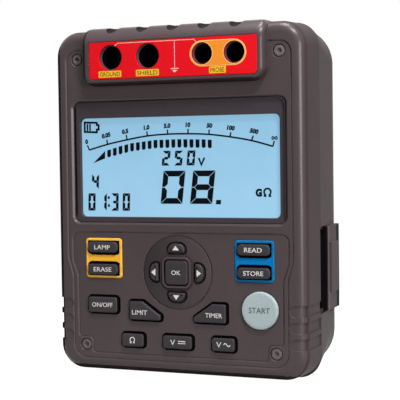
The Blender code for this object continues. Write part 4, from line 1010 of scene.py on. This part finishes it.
# Text, middle and turn of each number on the scale
SCALE_NUMBERS = (
    ("0", -59.3, 136.6, 16), ("0.05", -46.4, 140.1, 13), ("0.5", -34.0, 142.2, 10),
    ("1.0", -20.2, 144.2, 6), ("5.0", -7.2, 144.9, 2), ("10", 5.8, 145.2, 0),
    ("50", 19.0, 144.5, -4), ("100", 31.9, 142.9, -8), ("500", 45.7, 140.8, -12),
)
BAR_LINE = ((-44.6, 129.7), (-29.7, 132.9), (-14.8, 134.5), (0.3, 134.7), (15.1, 134.3), (19.0, 134.1))
BAR_COUNT = 18
BAR_PITCH = 3.74
BAR_HALF_WIDTH = 1.2
BAR_HALF_HEIGHT = 2.4
BAR_FOOT = 0.5
BAR_CUT = 0.7
BATTERY_SIGN = (
    (-60.4, 142.4), (-52.4, 142.0), (-52.4, 143.6), (-51.2, 143.6),
    (-51.2, 146.2), (-52.4, 146.3), (-52.4, 147.6), (-60.4, 147.9),
)
SEGMENTS = {
    "0": "abcdef", "1": "bc", "2": "abged", "3": "abgcd", "4": "fgbc", "5": "afgcd", "8": "abcdefg",
}


def screen_outline(left, right, low, high):
    """The screen opening with each side moved in by its own amount."""
    x, z, width, height = SCREEN
    x += (left - right) / 2
    z += (low - high) / 2
    return rounded(rectangle(x, z, width - left - right, height - low - high), SCREEN_CORNER, 8)


def display_frame():
    """Surround with a hollow round along its top and right edges, and a gap along its left edge."""
    screen = rectangle(*SCREEN)
    made = round_slab("display_frame_finish", screen, SCREEN_CORNER, -0.3, 0.9, 3.4)
    scoop = []
    for depth, right, high in SCOOP_LEVELS:
        scoop.append(ring(screen_outline(SCOOP_LEFT, right, SCOOP_LEFT, high), depth))
    combine(made, [solid("scoop", scoop)])
    combine(made, [round_slab("flange", screen, SCREEN_CORNER, 2.9, 3.3, 4.5)], "UNION")
    combine(made, [block("left_gap", (-66.5, -64.3), (0.0, 3.25), (93.0, 157.0))])
    levels = ((1.2, -0.9), (2.4, -0.3), (2.7, 0.0), (6.5, 0.0))
    return combine(made, [stepped("window", rectangle(*WINDOW), WINDOW_CORNER, levels)])


class Print:
    """Thin printed shapes gathered into one piece, laid on a plane that faces the front."""

    def __init__(self, depth):
        self.shape = bmesh.new()
        self.depth = depth

    def polygon(self, points):
        front = [self.shape.verts.new(at(x, self.depth - INK_THICK, z)) for x, z in points]
        back = [self.shape.verts.new(at(x, self.depth, z)) for x, z in points]
        self.shape.faces.new(front)
        self.shape.faces.new(back[::-1])
        wall_between(self.shape, front, back)

    def stripe(self, points, width, closed=False):
        """Line of even width through the points, as a chain of quads."""
        runs = [Vector(point) for point in points]
        count = len(runs)
        sides = []
        for index, point in enumerate(runs):
            before = runs[index - 1] if index or closed else point
            after = runs[(index + 1) % count] if index + 1 < count or closed else point
            behind = (point - before).normalized() if point != before else (after - point).normalized()
            ahead = (after - point).normalized() if point != after else behind
            out = Vector((behind.y + ahead.y, -behind.x - ahead.x)) / (1 + max(behind.dot(ahead), -0.6))
            sides.append((point + out * width / 2, point - out * width / 2))
        for index in range(count if closed else count - 1):
            first, second = sides[index], sides[(index + 1) % count]
            self.polygon([first[0], second[0], second[1], first[1]])

    def letters(self, text, x, z, width, height, lean=0.0, turn=0.0, weight=0.004):
        """Words centred on a point, fitted to a width and a height. A width of 0 keeps the proportions."""
        curve = bpy.data.curves.new("letters", "FONT")
        curve.body = text
        curve.resolution_u = 3
        curve.offset = weight
        curve.extrude = 0.5
        made = bpy.data.objects.new("letters", curve)
        bpy.context.scene.collection.objects.link(made)
        graph = bpy.context.evaluated_depsgraph_get()
        mesh = bpy.data.meshes.new_from_object(made.evaluated_get(graph))
        bpy.data.objects.remove(made)
        bpy.data.curves.remove(curve)
        xs = [vertex.co.x for vertex in mesh.vertices]
        ys = [vertex.co.y for vertex in mesh.vertices]
        tall = height / (max(ys) - min(ys))
        wide = width / (max(xs) - min(xs)) if width else tall
        middle_x, middle_y = (max(xs) + min(xs)) / 2, (max(ys) + min(ys)) / 2
        spin = Matrix.Rotation(math.radians(turn), 2)
        for vertex in mesh.vertices:
            flat = Vector(((vertex.co.x - middle_x) * wide, (vertex.co.y - middle_y) * tall))
            flat.x += flat.y * lean
            flat = spin @ flat
            depth = self.depth - INK_THICK * (0.5 + vertex.co.z)
            vertex.co = at(x + flat.x, depth, z + flat.y)
        self.shape.from_mesh(mesh)
        bpy.data.meshes.remove(mesh)

    def omega(self, x, z, height, width):
        """Ohm sign: an open round on two feet."""
        radius, opening = height * 0.42, 0.62
        reach = radius * 1.15
        arc = []
        for turn in sweep(opening, 2 * math.pi - opening, 17):
            arc.append((x + radius * math.sin(turn), z + height * 0.08 - radius * math.cos(turn)))
        foot = z - height / 2 + width / 2
        start = [(x + reach, foot), (arc[0][0] - 0.02, foot)]
        end = [(arc[-1][0] + 0.02, foot), (x - reach, foot)]
        self.stripe(start + arc + end, width)

    def digit(self, value, x, z, width, height, stroke, lean=0.1):
        """Seven-segment digit centred on (x, z)."""
        half, tall, gap, s = width / 2, height / 2, stroke * 0.06, stroke
        inner, outer = half - s - gap, half - gap
        shapes = {
            "a": [(-inner, tall - s), (inner, tall - s), (outer, tall), (-outer, tall)],
            "d": [(-outer, -tall), (outer, -tall), (inner, s - tall), (-inner, s - tall)],
            "g": [
                (s / 2 - outer, 0), (-inner, -s / 2), (inner, -s / 2),
                (outer - s / 2, 0), (inner, s / 2), (-inner, s / 2),
            ],
        }
        for letter, side, way in (("f", 1, 1), ("e", 1, -1), ("b", -1, 1), ("c", -1, -1)):
            edge, far, near = -side * half, way * (tall - gap), way * gap
            shapes[letter] = [
                (edge, far), (edge, near), (edge + side * s / 2, near),
                (edge + side * s, near + way * s / 2), (edge + side * s, far - way * s),
            ]
        for letter in SEGMENTS[value]:
            self.polygon([(x + px + pz * lean, z + pz) for px, pz in shapes[letter]])

    def made(self, name, body, skin, slot=None):
        return place(made_from(name, self.shape), body, skin)


def smooth_run(points, steps=6):
    """Smooth curve through the points."""
    runs = [Vector(point) for point in points]
    last = len(runs) - 1
    curve = []
    for index in range(last):
        before, after = runs[max(index - 1, 0)], runs[min(index + 2, last)]
        first, second = runs[index], runs[index + 1]
        bend = 2 * before - 5 * first + 4 * second - after
        twist = 3 * first - before - 3 * second + after
        for step in range(steps):
            t = step / steps
            curve.append(0.5 * (2 * first + (second - before) * t + bend * t * t + twist * t**3))
    return curve + [runs[-1]]


def bar_graph(layer):
    """Row of bars that follows the scale, each with cut lower corners."""
    for index in range(BAR_COUNT):
        x = BAR_LINE[0][0] + BAR_PITCH * index
        for first, second in zip(BAR_LINE, BAR_LINE[1:]):
            if first[0] <= x <= second[0] + 0.05:
                lean = (second[1] - first[1]) / (second[0] - first[0])
                z = first[1] + lean * (x - first[0])
        half, foot, cut = BAR_HALF_WIDTH, z - BAR_HALF_HEIGHT, z - BAR_HALF_HEIGHT + BAR_CUT
        top = z + BAR_HALF_HEIGHT - 0.25 * max(0, 2 - index)
        corners = ((-half, cut), (-BAR_FOOT, foot), (BAR_FOOT, foot), (half, cut), (half, top), (-half, top))
        layer.polygon([(x + across, level + lean * across) for across, level in corners])
    layer.polygon([(-55.0, 123.9), (-47.3, 126.6), (-47.2, 131.0)])


def display_readout():
    """Dark display elements: scale, bar graph, plain numbers, battery and unit."""
    layer = Print(LCD_INK_DEPTH)
    layer.stripe(smooth_run(SCALE_ARC), 0.95)
    for foot, tip in zip(SCALE_ARC, SCALE_TIPS):
        layer.stripe([foot, tip], 0.85)
    for text, x, z, turn in SCALE_NUMBERS:
        layer.letters(text, x, z, 0, 2.8, 0.1, turn, 0.065)
    turns = sweep(0, 2 * math.pi, 25)[:-1]
    layer.stripe([(57.6 + 1.5 * math.sin(t), 136.8 + 0.75 * math.sin(2 * t)) for t in turns], 0.6, True)
    bar_graph(layer)
    for value, x in zip("250", (-8.1, -0.3, 7.4)):
        layer.digit(value, x, 126.3, 4.9, 8.5, 1.6)
    layer.stripe([(12.1, 126.3), (13.7, 122.3), (15.6, 126.4)], 1.1)
    layer.digit("4", -53.9, 113.0, 4.6, 8.7, 1.6, 0.05)
    for value, x in zip("0130", (-56.4, -49.0, -41.3, -33.9)):
        layer.digit(value, x, 101.0, 4.7, 10.2, 1.65, 0.03)
    for z in (98.9, 103.6):
        layer.polygon(rectangle(-45.3, z, 1.3, 1.5))
    for value, x in zip("08", (-4.1, 14.3)):
        layer.digit(value, x, 109.6, 13.6, 19.0, 3.3, 0.12)
    layer.polygon([(22.2, 99.9), (25.2, 99.9), (25.5, 102.4), (22.5, 102.4)])
    layer.letters("G", 48.0, 106.5, 3.9, 4.6, 0.0, 0.0, 0.07)
    layer.omega(53.1, 106.5, 4.7, 1.0)
    layer.stripe(BATTERY_SIGN, 1.2, True)
    for x in (-58.6, -56.9):
        layer.polygon(rectangle(x, 145.0, 1.1, 4.0))
    bmesh.ops.translate(layer.shape, verts=layer.shape.verts, vec=(READOUT_SHIFT * MM, 0.0, 0.0))
    return layer.made("display_readout", "root", SEGMENT_INK, "lcd")


def build_display():
    place(display_frame(), "root", BEZEL, ("display_frame",))
    # Painted shade: black strip in the gap along the display frame's left edge
    left_gap_shade = block("display_left_gap_painted_shade", (-65.5, -64.35), (2.6, 3.2), (93.1, 156.9))
    place(left_gap_shade, "root", BLACK)
    display_readout()


# Terminals
def capsule(radius):
    left, right = JACK_X[2], JACK_X[3]
    turns = sweep(0, math.pi, 25)
    arc_right = [(right + radius * math.sin(t), JACK_Z - radius * math.cos(t)) for t in turns]
    arc_left = [(left - radius * math.sin(t), JACK_Z + radius * math.cos(t)) for t in turns]
    return arc_right + arc_left


def terminal_panel():
    levels = ((BLOCK_FRONT, 0.2), (BLOCK_FRONT + 0.15, 0.0), (BLOCK_FRONT + PANEL_THICK, 0.0))
    panel = stepped("terminal_panel_finish", *RED_PANEL, levels)
    holes = []
    for x, radius in zip(JACK_X, JACK_RADII):
        profile = [(radius + 0.25, BLOCK_FRONT - 1.0), (radius + 0.1, BLOCK_FRONT)]
        profile += [(radius, BLOCK_FRONT + 0.2), (radius, BLOCK_FRONT + 2.5)]
        holes.append(turned("hole", x, JACK_Z, profile, 72))
    return combine(panel, holes)


def jack_block():
    """Insulating housing behind the red panel, with four deep round wells."""
    levels = ((-5.4, 0.0), (3.3, 0.0), (3.3, -2.5), (5.3, -2.5), (5.3, 0.0), (20.0, 0.0))
    outline = rectangle(0, JACK_Z, *JACK_HOUSING)
    made = stepped("jack_housing", outline, JACK_HOUSING_CORNER, levels, 4)
    wells = []
    for x, radius in zip(JACK_X, JACK_RADII):
        bore = radius - 0.3
        wells.append(turned("well", x, JACK_Z, [(bore, -7.0), (bore, 18.0), (3.6, 18.0), (3.6, 22.0)], 64))
    return combine(made, wells)


def well_collars():
    """Short dull sleeves just inside the four wells."""
    for index, (x, radius) in enumerate(zip(JACK_X, JACK_RADII)):
        wide, slim = radius - 0.05, radius - 0.35
        profile = [(wide, -5.7), (slim, -5.6), (slim, -3.4), (wide, -3.4)]
        sleeve = turned(f"well_collar_{index + 1}", x, JACK_Z, profile, 72)
        combine(sleeve, [rod("bore", x, JACK_Z, radius - 0.5, -9.0, 0.0, 72)])
        place(sleeve, "root", COLLAR)


def panel_prints():
    fields = (
        ("pale_ring", 7.2, BLOCK_FRONT, PALE_INK),
        ("orange_field", 6.75, BLOCK_FRONT - INK_THICK, ORANGE_INK),
    )
    for name, radius, depth, skin in fields:
        field = slab(name, capsule(radius), depth - INK_THICK, depth)
        combine(field, [rod("hole", x, JACK_Z, FIELD_HOLE, -9.0, -5.0, 72) for x in JACK_X[2:]])
        place(field, "root", skin)
    rings = Print(BLOCK_FRONT - 2 * INK_THICK)
    for x in JACK_X[2:]:
        rings.stripe(circle(x, JACK_Z, 6.4), 0.3, True)
    rings.made("jack_rings", "root", PALE_INK, "red_panel")
    lines = Print(BLOCK_FRONT)
    lines.stripe([(-34.0, 190.8), (-32.0, 192.3), (15.1, 192.3), (16.6, 190.6)], 0.36)
    lines.stripe([(3.3, 192.3), (3.3, 177.0)], 0.34)
    lines.stripe([(0.9, 176.6), (5.7, 176.6)], 0.55)
    lines.polygon([(1.6, 175.8), (3.3, 174.2), (5.0, 175.8)])
    lines.made("panel_lines", "root", PINK_INK, "red_panel")
    tags = Print(BLOCK_FRONT)
    words = Print(BLOCK_FRONT - INK_THICK)
    for x, width, text in ((-37.2, 14.4, "GROUND"), (-13.6, 14.3, "SHIELD"), (29.0, 9.9, "PROBE")):
        tags.polygon(rounded(rectangle(x, TAG_Z, width, 3.7), 0.5, 3))
        words.letters(text, x, TAG_Z, width - 1.6, 2.5)
    tags.made("panel_tags", "root", TAG_INK, "red_panel")
    words.made("panel_tag_letters", "root", DARK_INK, "red_panel")


def build_terminals():
    place(terminal_panel(), "root", RED, ("terminal_panel",))
    place(jack_block(), "root", BLACK, ("jack_block",))
    well_collars()
    panel_prints()


# Keys
# Key, text, middle and width of each word
KEY_WORDS = (
    ("key_lamp", "LAMP", -PLATE_X, BAR_KEY_HIGH_Z, 10.2),
    ("key_erase", "ERASE", -PLATE_X, BAR_KEY_LOW_Z, 11.6),
    ("key_read", "READ", PLATE_X, BAR_KEY_HIGH_Z, 10.4),
    ("key_store", "STORE", PLATE_X, BAR_KEY_LOW_Z, 11.8),
    ("key_power", "ON/OFF", POWER_KEY_X, MIDDLE_ROW_Z, 13.4),
    ("key_limit", "LIMIT", -23.2, 37.4, 9.6),
    ("key_timer", "TIMER", 22.8, 37.4, 10.2),
    ("key_enter", "OK", 0.0, NAV_Z, 5.6),
)
# Key, middle and turn of each arrow
KEY_ARROWS = (
    ("key_up", 0, NAV_Z + NAV_REACH, 0), ("key_left", -NAV_REACH, NAV_Z, 90),
    ("key_down", 0, NAV_Z - NAV_REACH, 180), ("key_right", NAV_REACH, NAV_Z, 270),
)
ARROW_SHAPE = ((-2.0, -1.2), (2.0, -1.2), (0.0, 1.5))


def key_cap(name, outline, radius):
    """Cap with a soft shoulder and a slightly crowned top, a flange and a stem."""
    proud, edge, slim, steps = KEY_PROUD, KEY_EDGE, KEY_SLIM, 8
    if name == "key_test":
        proud, edge, slim, steps = ROUND_KEY_PROUD, ROUND_KEY_EDGE, 0.0, 24
    elif name == "key_enter":
        slim = ENTER_SLIM
    crown = 0.5 if name in ARROWS + ("key_limit", "key_timer") else 1.4
    plan = [(-proud - CAP_CROWN, slim + edge + crown), (-proud - CAP_SHOULDER, slim + edge + crown * 0.4)]
    for turn in sweep(0.0, math.pi / 2, 5):
        plan.append((edge * (1 - math.cos(turn)) - proud, slim + edge * (1 - math.sin(turn))))
    plan += [(CAP_BACK, slim), (CAP_BACK, -FLANGE_REACH), (FLANGE_BACK, -FLANGE_REACH)]
    loops = [ring(rounded(outline, radius, steps, inset), depth) for depth, inset in plan]
    xs, zs = [point[0] for point in outline], [point[1] for point in outline]
    middle = Vector(((min(xs) + max(xs)) / 2, (min(zs) + max(zs)) / 2))
    stem = []
    for point in rounded(outline, radius, steps):
        stem.append(middle + (point - middle).normalized() * STEM_RADIUS)
    loops += [ring(stem, FLANGE_BACK), ring(stem, STEM_BACK)]
    return solid(name + "_cap", loops)


def paint_key_side_shade(cap):
    """Painted shade: black below the cap's top, for the dark outline round the key."""
    cap.data.materials.append(BLACK)
    for face in cap.data.polygons:
        if face.center.y / MM - FACE_Y > CAP_TOP_DEPTH - KEY_PROUD:
            face.material_index = 1


def key_words():
    """Generic words, signs and arrows on the keys."""
    top = -KEY_PROUD - LETTER_RISE
    for name, text, x, z, width in KEY_WORDS:
        layer = Print(top)
        layer.letters(text, x, z, width, 2.6)
        layer.made(name + "_letters", name, WHITE_INK, "keys")
    for name, x, z, turn in KEY_ARROWS:
        layer = Print(top)
        spin = Matrix.Rotation(math.radians(turn), 2)
        corners = [spin @ Vector(corner) for corner in ARROW_SHAPE]
        layer.polygon([(x + corner.x, z + corner.y) for corner in corners])
        layer.made(name + "_arrow", name, WHITE_INK, "keys")
    layer = Print(top)
    layer.omega(-OUTER_KEY_X, LOW_ROW_Z, 3.4, 0.55)
    layer.made("key_ohms_sign", "key_ohms", WHITE_INK, "keys")
    layer = Print(top)
    layer.letters("V", -2.6, LOW_ROW_Z, 3.0, 3.0)
    layer.stripe([(0.8, 21.8), (5.2, 21.8)], 0.5)
    for x in (0.8, 2.4, 4.0):
        layer.stripe([(x, 20.6), (x + 1.2, 20.6)], 0.5)
    layer.made("key_dc_volts_sign", "key_dc_volts", WHITE_INK, "keys")
    layer = Print(top)
    layer.letters("V", 25.7, LOW_ROW_Z, 3.0, 3.0)
    wave = [(28.6 + 3.9 * t, 21.1 + 0.85 * math.sin(2 * math.pi * t)) for t in sweep(0, 1, 17)]
    layer.stripe(wave, 0.5)
    layer.made("key_ac_volts_sign", "key_ac_volts", WHITE_INK, "keys")
    layer = Print(-ROUND_KEY_PROUD - LETTER_RISE)
    layer.letters("START", TEST_KEY_X, 41.2, 12.4, 3.2)
    layer.made("key_test_letters", "key_test", GREY_INK, "test_key")


def key_plate(name, side):
    levels = ((PLATE_FACE, 0.45), (0.75, 0.15), (1.0, 0.0), (1.6, 0.0))
    plate = stepped(name + "_finish", plate_outline(side), PLATE_CORNER, levels, 6)
    pair = BAR_KEYS[:2] if side < 0 else BAR_KEYS[2:]
    return combine(plate, [round_slab("hole", *KEYS[key], BAR_KEY_GAP, -1.0, 3.0) for key in pair])


def plate_rim(name, side, skin, slot):
    rim = Print(PLATE_FACE)
    rim.stripe(rounded(plate_outline(side), PLATE_CORNER, 6, PLATE_RIM_INSET), PLATE_RIM_WIDTH, True)
    rim.made(name, "root", skin, slot)


def centre_key_frame():
    """Raised square frame round the centre key."""
    levels = ((-1.1, -1.2), (-0.85, -1.75), (1.0, -1.75))
    nest = stepped("centre_key_frame", *KEYS["key_enter"], levels)
    return combine(nest, [round_slab("hole", *KEYS["key_enter"], KEY_GAP, -3.0, 5.0)])


def build_keys():
    for name, (outline, radius) in KEYS.items():
        skin, slot = (ROUND_KEYCAP, "test_key") if name == "key_test" else (KEYCAP, "keys")
        cap = place(key_cap(name, outline, radius), name, skin, (name,), 40)
        # Painted shade on the sides of the caps
        if name not in ARROWS + ("key_enter", "key_test"):
            paint_key_side_shade(cap)
    key_words()
    place(key_plate("yellow_key_plate", -1), "root", YELLOW, ("yellow_key_plate",))
    place(key_plate("blue_key_plate", 1), "root", BLUE, ("blue_key_plate",))
    plate_rim("yellow_plate_rim", -1, YELLOW_RIM, "yellow_plate")
    plate_rim("blue_plate_rim", 1, BLUE_RIM, "blue_plate")
    place(centre_key_frame(), "root", CASE)


# Side port
def port_cover():
    """Sliding cover with a finger pad."""
    outline = [(75.1, 39.6), (77.0, 39.6), (77.3, 39.75), (77.5, 40.1)]
    outline += [(77.5, 65.0), (76.1, 67.0), (75.1, 67.0)]
    cover = solid("port_cover_finish", [[at(x, depth, z) for x, depth in outline] for z in COVER_Z])
    combine(cover, [block("tongue", *COVER_TONGUE)], "UNION")
    combine(cover, [block("pad", (76.5, 78.4), (46.0, 61.0), PAD_Z, 0.6)], "UNION")
    return combine(cover, [block("slit", (76.7, 79.5), (44.2, 46.0), PAD_Z)])


def bay_painted_shade_lining():
    """Black liner of the open bay behind the cover: painted shade for the deep bay."""
    liner = block("bay_painted_shade_lining", (58.15, 74.75), (26.75, 39.85), (38.55, 84.45))
    combine(liner, [block("inside", (58.4, 76.5), (26.95, 39.65), (38.75, 84.25))])
    for z_range in SOCKET_Z:
        combine(liner, [block("socket_hole", (57.5, 59.5), SOCKET_DEPTH, z_range)])
    return liner


def build_side_port():
    # Painted shade: black lining inside the port bay
    place(bay_painted_shade_lining(), "root", BLACK)
    place(port_cover(), "port_cover", COVER, ("port_cover",))
    # Painted shade: black strip on the cover's front end
    front_shade = block("cover_front_painted_shade", (75.2, 77.55), (39.4, 41.6), (37.2, 85.8))
    place(front_shade, "port_cover", BLACK)
    # Painted highlight along the cover's front edge
    lip = block("cover_front_painted_highlight", (77.3, 77.6), (41.7, 44.0), (37.2, 85.8))
    place(lip, "port_cover", COVER_PAINTED_HIGHLIGHT)
    # Painted shade: black strip along the cover's rear end
    strip = block("cover_end_painted_shade", (77.4, 77.55), (59.4, 65.0), (37.3, 85.7))
    place(strip, "port_cover", BLACK)


# Pieces that keep their frame shape
def finish_inner_pieces():
    skins = {
        "lcd_panel": LCD_BLUE, "backlight": DIFFUSER, "display_lens": LENS, "keypad_mat": RUBBER,
        "key_board": BOARD, "main_board": BOARD, "port_board": BOARD, "hv_transformer": FERRITE,
        # Painted shade: the data socket's steel is darkened
        "buzzer": BLACK, "power_socket": BLACK, "data_socket": SOCKET_PAINTED_SHADE, "battery_tray": BLACK,
        "battery_cover_screw": STEEL,
    }
    # Painted shade: the contacts are darkened
    for name in ("earth", "guard", "line", "line_shield"):
        skins["jack_contact_" + name] = CONTACT_PAINTED_SHADE
    for index in range(8):
        skins[f"battery_{index + 1}"] = CELL_CAN
    for name, skin in skins.items():
        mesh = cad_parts[name].data
        mesh.materials.clear()
        mesh.materials.append(skin)


# Studio
def seen_directly(tree):
    """Mask of rays that show the backdrop itself, in the picture or in gloss and glass."""
    path = tree.nodes.new("ShaderNodeLightPath").outputs
    seen = sum_of(tree, path["Is Camera Ray"], path["Is Glossy Ray"])
    return sum_of(tree, seen, path["Is Transmission Ray"])


def floor_surface():
    """White sweep that looks plain white and keeps light off the underside."""
    made, tree, shader = surface("floor_paper")
    grain = spread(tree, noise(tree, 400.0, 2.0, object_place(tree)), 0.3, 0.7)
    paper = blend_colours(tree, grain, tone(150, 150, 150), tone(156, 156, 156))
    seen = seen_directly(tree)
    reach = tree.nodes.new("ShaderNodeVectorMath")
    reach.operation = "LENGTH"
    feed(reach, {0: object_place(tree)})
    feed(shader, {
        "Base Color": blend_colours(tree, seen, tone(90, 90, 90), paper),
        "Roughness": 0.9,
        "Specular IOR Level": 0.0,
        "Emission Color": blend_colours(tree, seen, grey(0.0), grey(1.0)),
        "Emission Strength": 1.0,
        "Alpha": spread(tree, reach.outputs["Value"], 0.22, 0.42, 1.0, 0.0),
    })
    return made


def lamp(name, location, size, power, height=None):
    """Soft round lamp, or an upright strip where a height is given."""
    light = bpy.data.lights.new(name, "AREA")
    light.shape = "RECTANGLE" if height else "DISK"
    light.size = size
    light.size_y = height or size
    light.energy = power
    made = bpy.data.objects.new(name, light)
    made.location = location
    made.rotation_euler = (LAMP_AIM - Vector(location)).to_track_quat("-Z", "Y").to_euler()
    bpy.context.scene.collection.objects.link(made)
    return made


def backdrop():
    """World that looks white and gives only a little light."""
    world = bpy.data.worlds.new("studio")
    bpy.context.scene.world = world
    world.use_nodes = True
    tree = world.node_tree
    tree.nodes.clear()
    soft, white = (tree.nodes.new("ShaderNodeBackground") for _ in range(2))
    feed(soft, {"Color": grey(1.0), "Strength": 0.08})
    feed(white, {"Color": grey(1.0), "Strength": 1.0})
    mix = tree.nodes.new("ShaderNodeMixShader")
    feed(mix, {0: seen_directly(tree), 1: soft.outputs[0], 2: white.outputs[0]})
    feed(tree.nodes.new("ShaderNodeOutputWorld"), {"Surface": mix.outputs[0]})


def studio():
    shape = bmesh.new()
    bmesh.ops.create_grid(shape, x_segments=1, y_segments=1, size=FLOOR_SIZE)
    floor = made_from("floor", shape)
    floor.location.z = FLOOR_Z
    floor.data.materials.append(floor_surface())
    lamp("key_strip", (0.93, -0.75, 0.25), 0.24, 8.5, 0.5)
    lamp("front_light", (0.45, -0.55, 1.05), 0.25, 11.0)
    lamp("top_light", (0.0, -0.12, 1.20), 0.40, 9.5)
    # The back lamp lights the rear without a glare along the top
    lamp("back_light", (-0.6, 1.1, 0.7), 0.50, 13.0).visible_glossy = False
    backdrop()


def camera():
    yaw, pitch, roll = (math.radians(angle) for angle in (VIEW_TURN, VIEW_DROP, VIEW_ROLL))
    ahead = Vector((-math.sin(yaw) * math.cos(pitch), math.cos(yaw) * math.cos(pitch), -math.sin(pitch)))
    level = Vector((math.cos(yaw), math.sin(yaw), 0.0))
    fall = ahead.cross(level)
    right = math.cos(roll) * level + math.sin(roll) * fall
    down = math.cos(roll) * fall - math.sin(roll) * level
    view = bpy.data.cameras.new("camera")
    view.sensor_width = 36.0
    view.lens = VIEW_LENS
    view.dof.use_dof = False
    made = bpy.data.objects.new("camera", view)
    turn = Matrix((right, -down, -ahead)).transposed().to_4x4()
    made.matrix_world = Matrix.Translation(Vector(VIEW_PLACE) * MM) @ turn
    bpy.context.scene.collection.objects.link(made)
    bpy.context.scene.camera = made


build_case()
build_display()
build_terminals()
build_keys()
build_side_port()
finish_inner_pieces()
studio()
camera()
bpy.context.scene.view_settings.view_transform = "Standard"
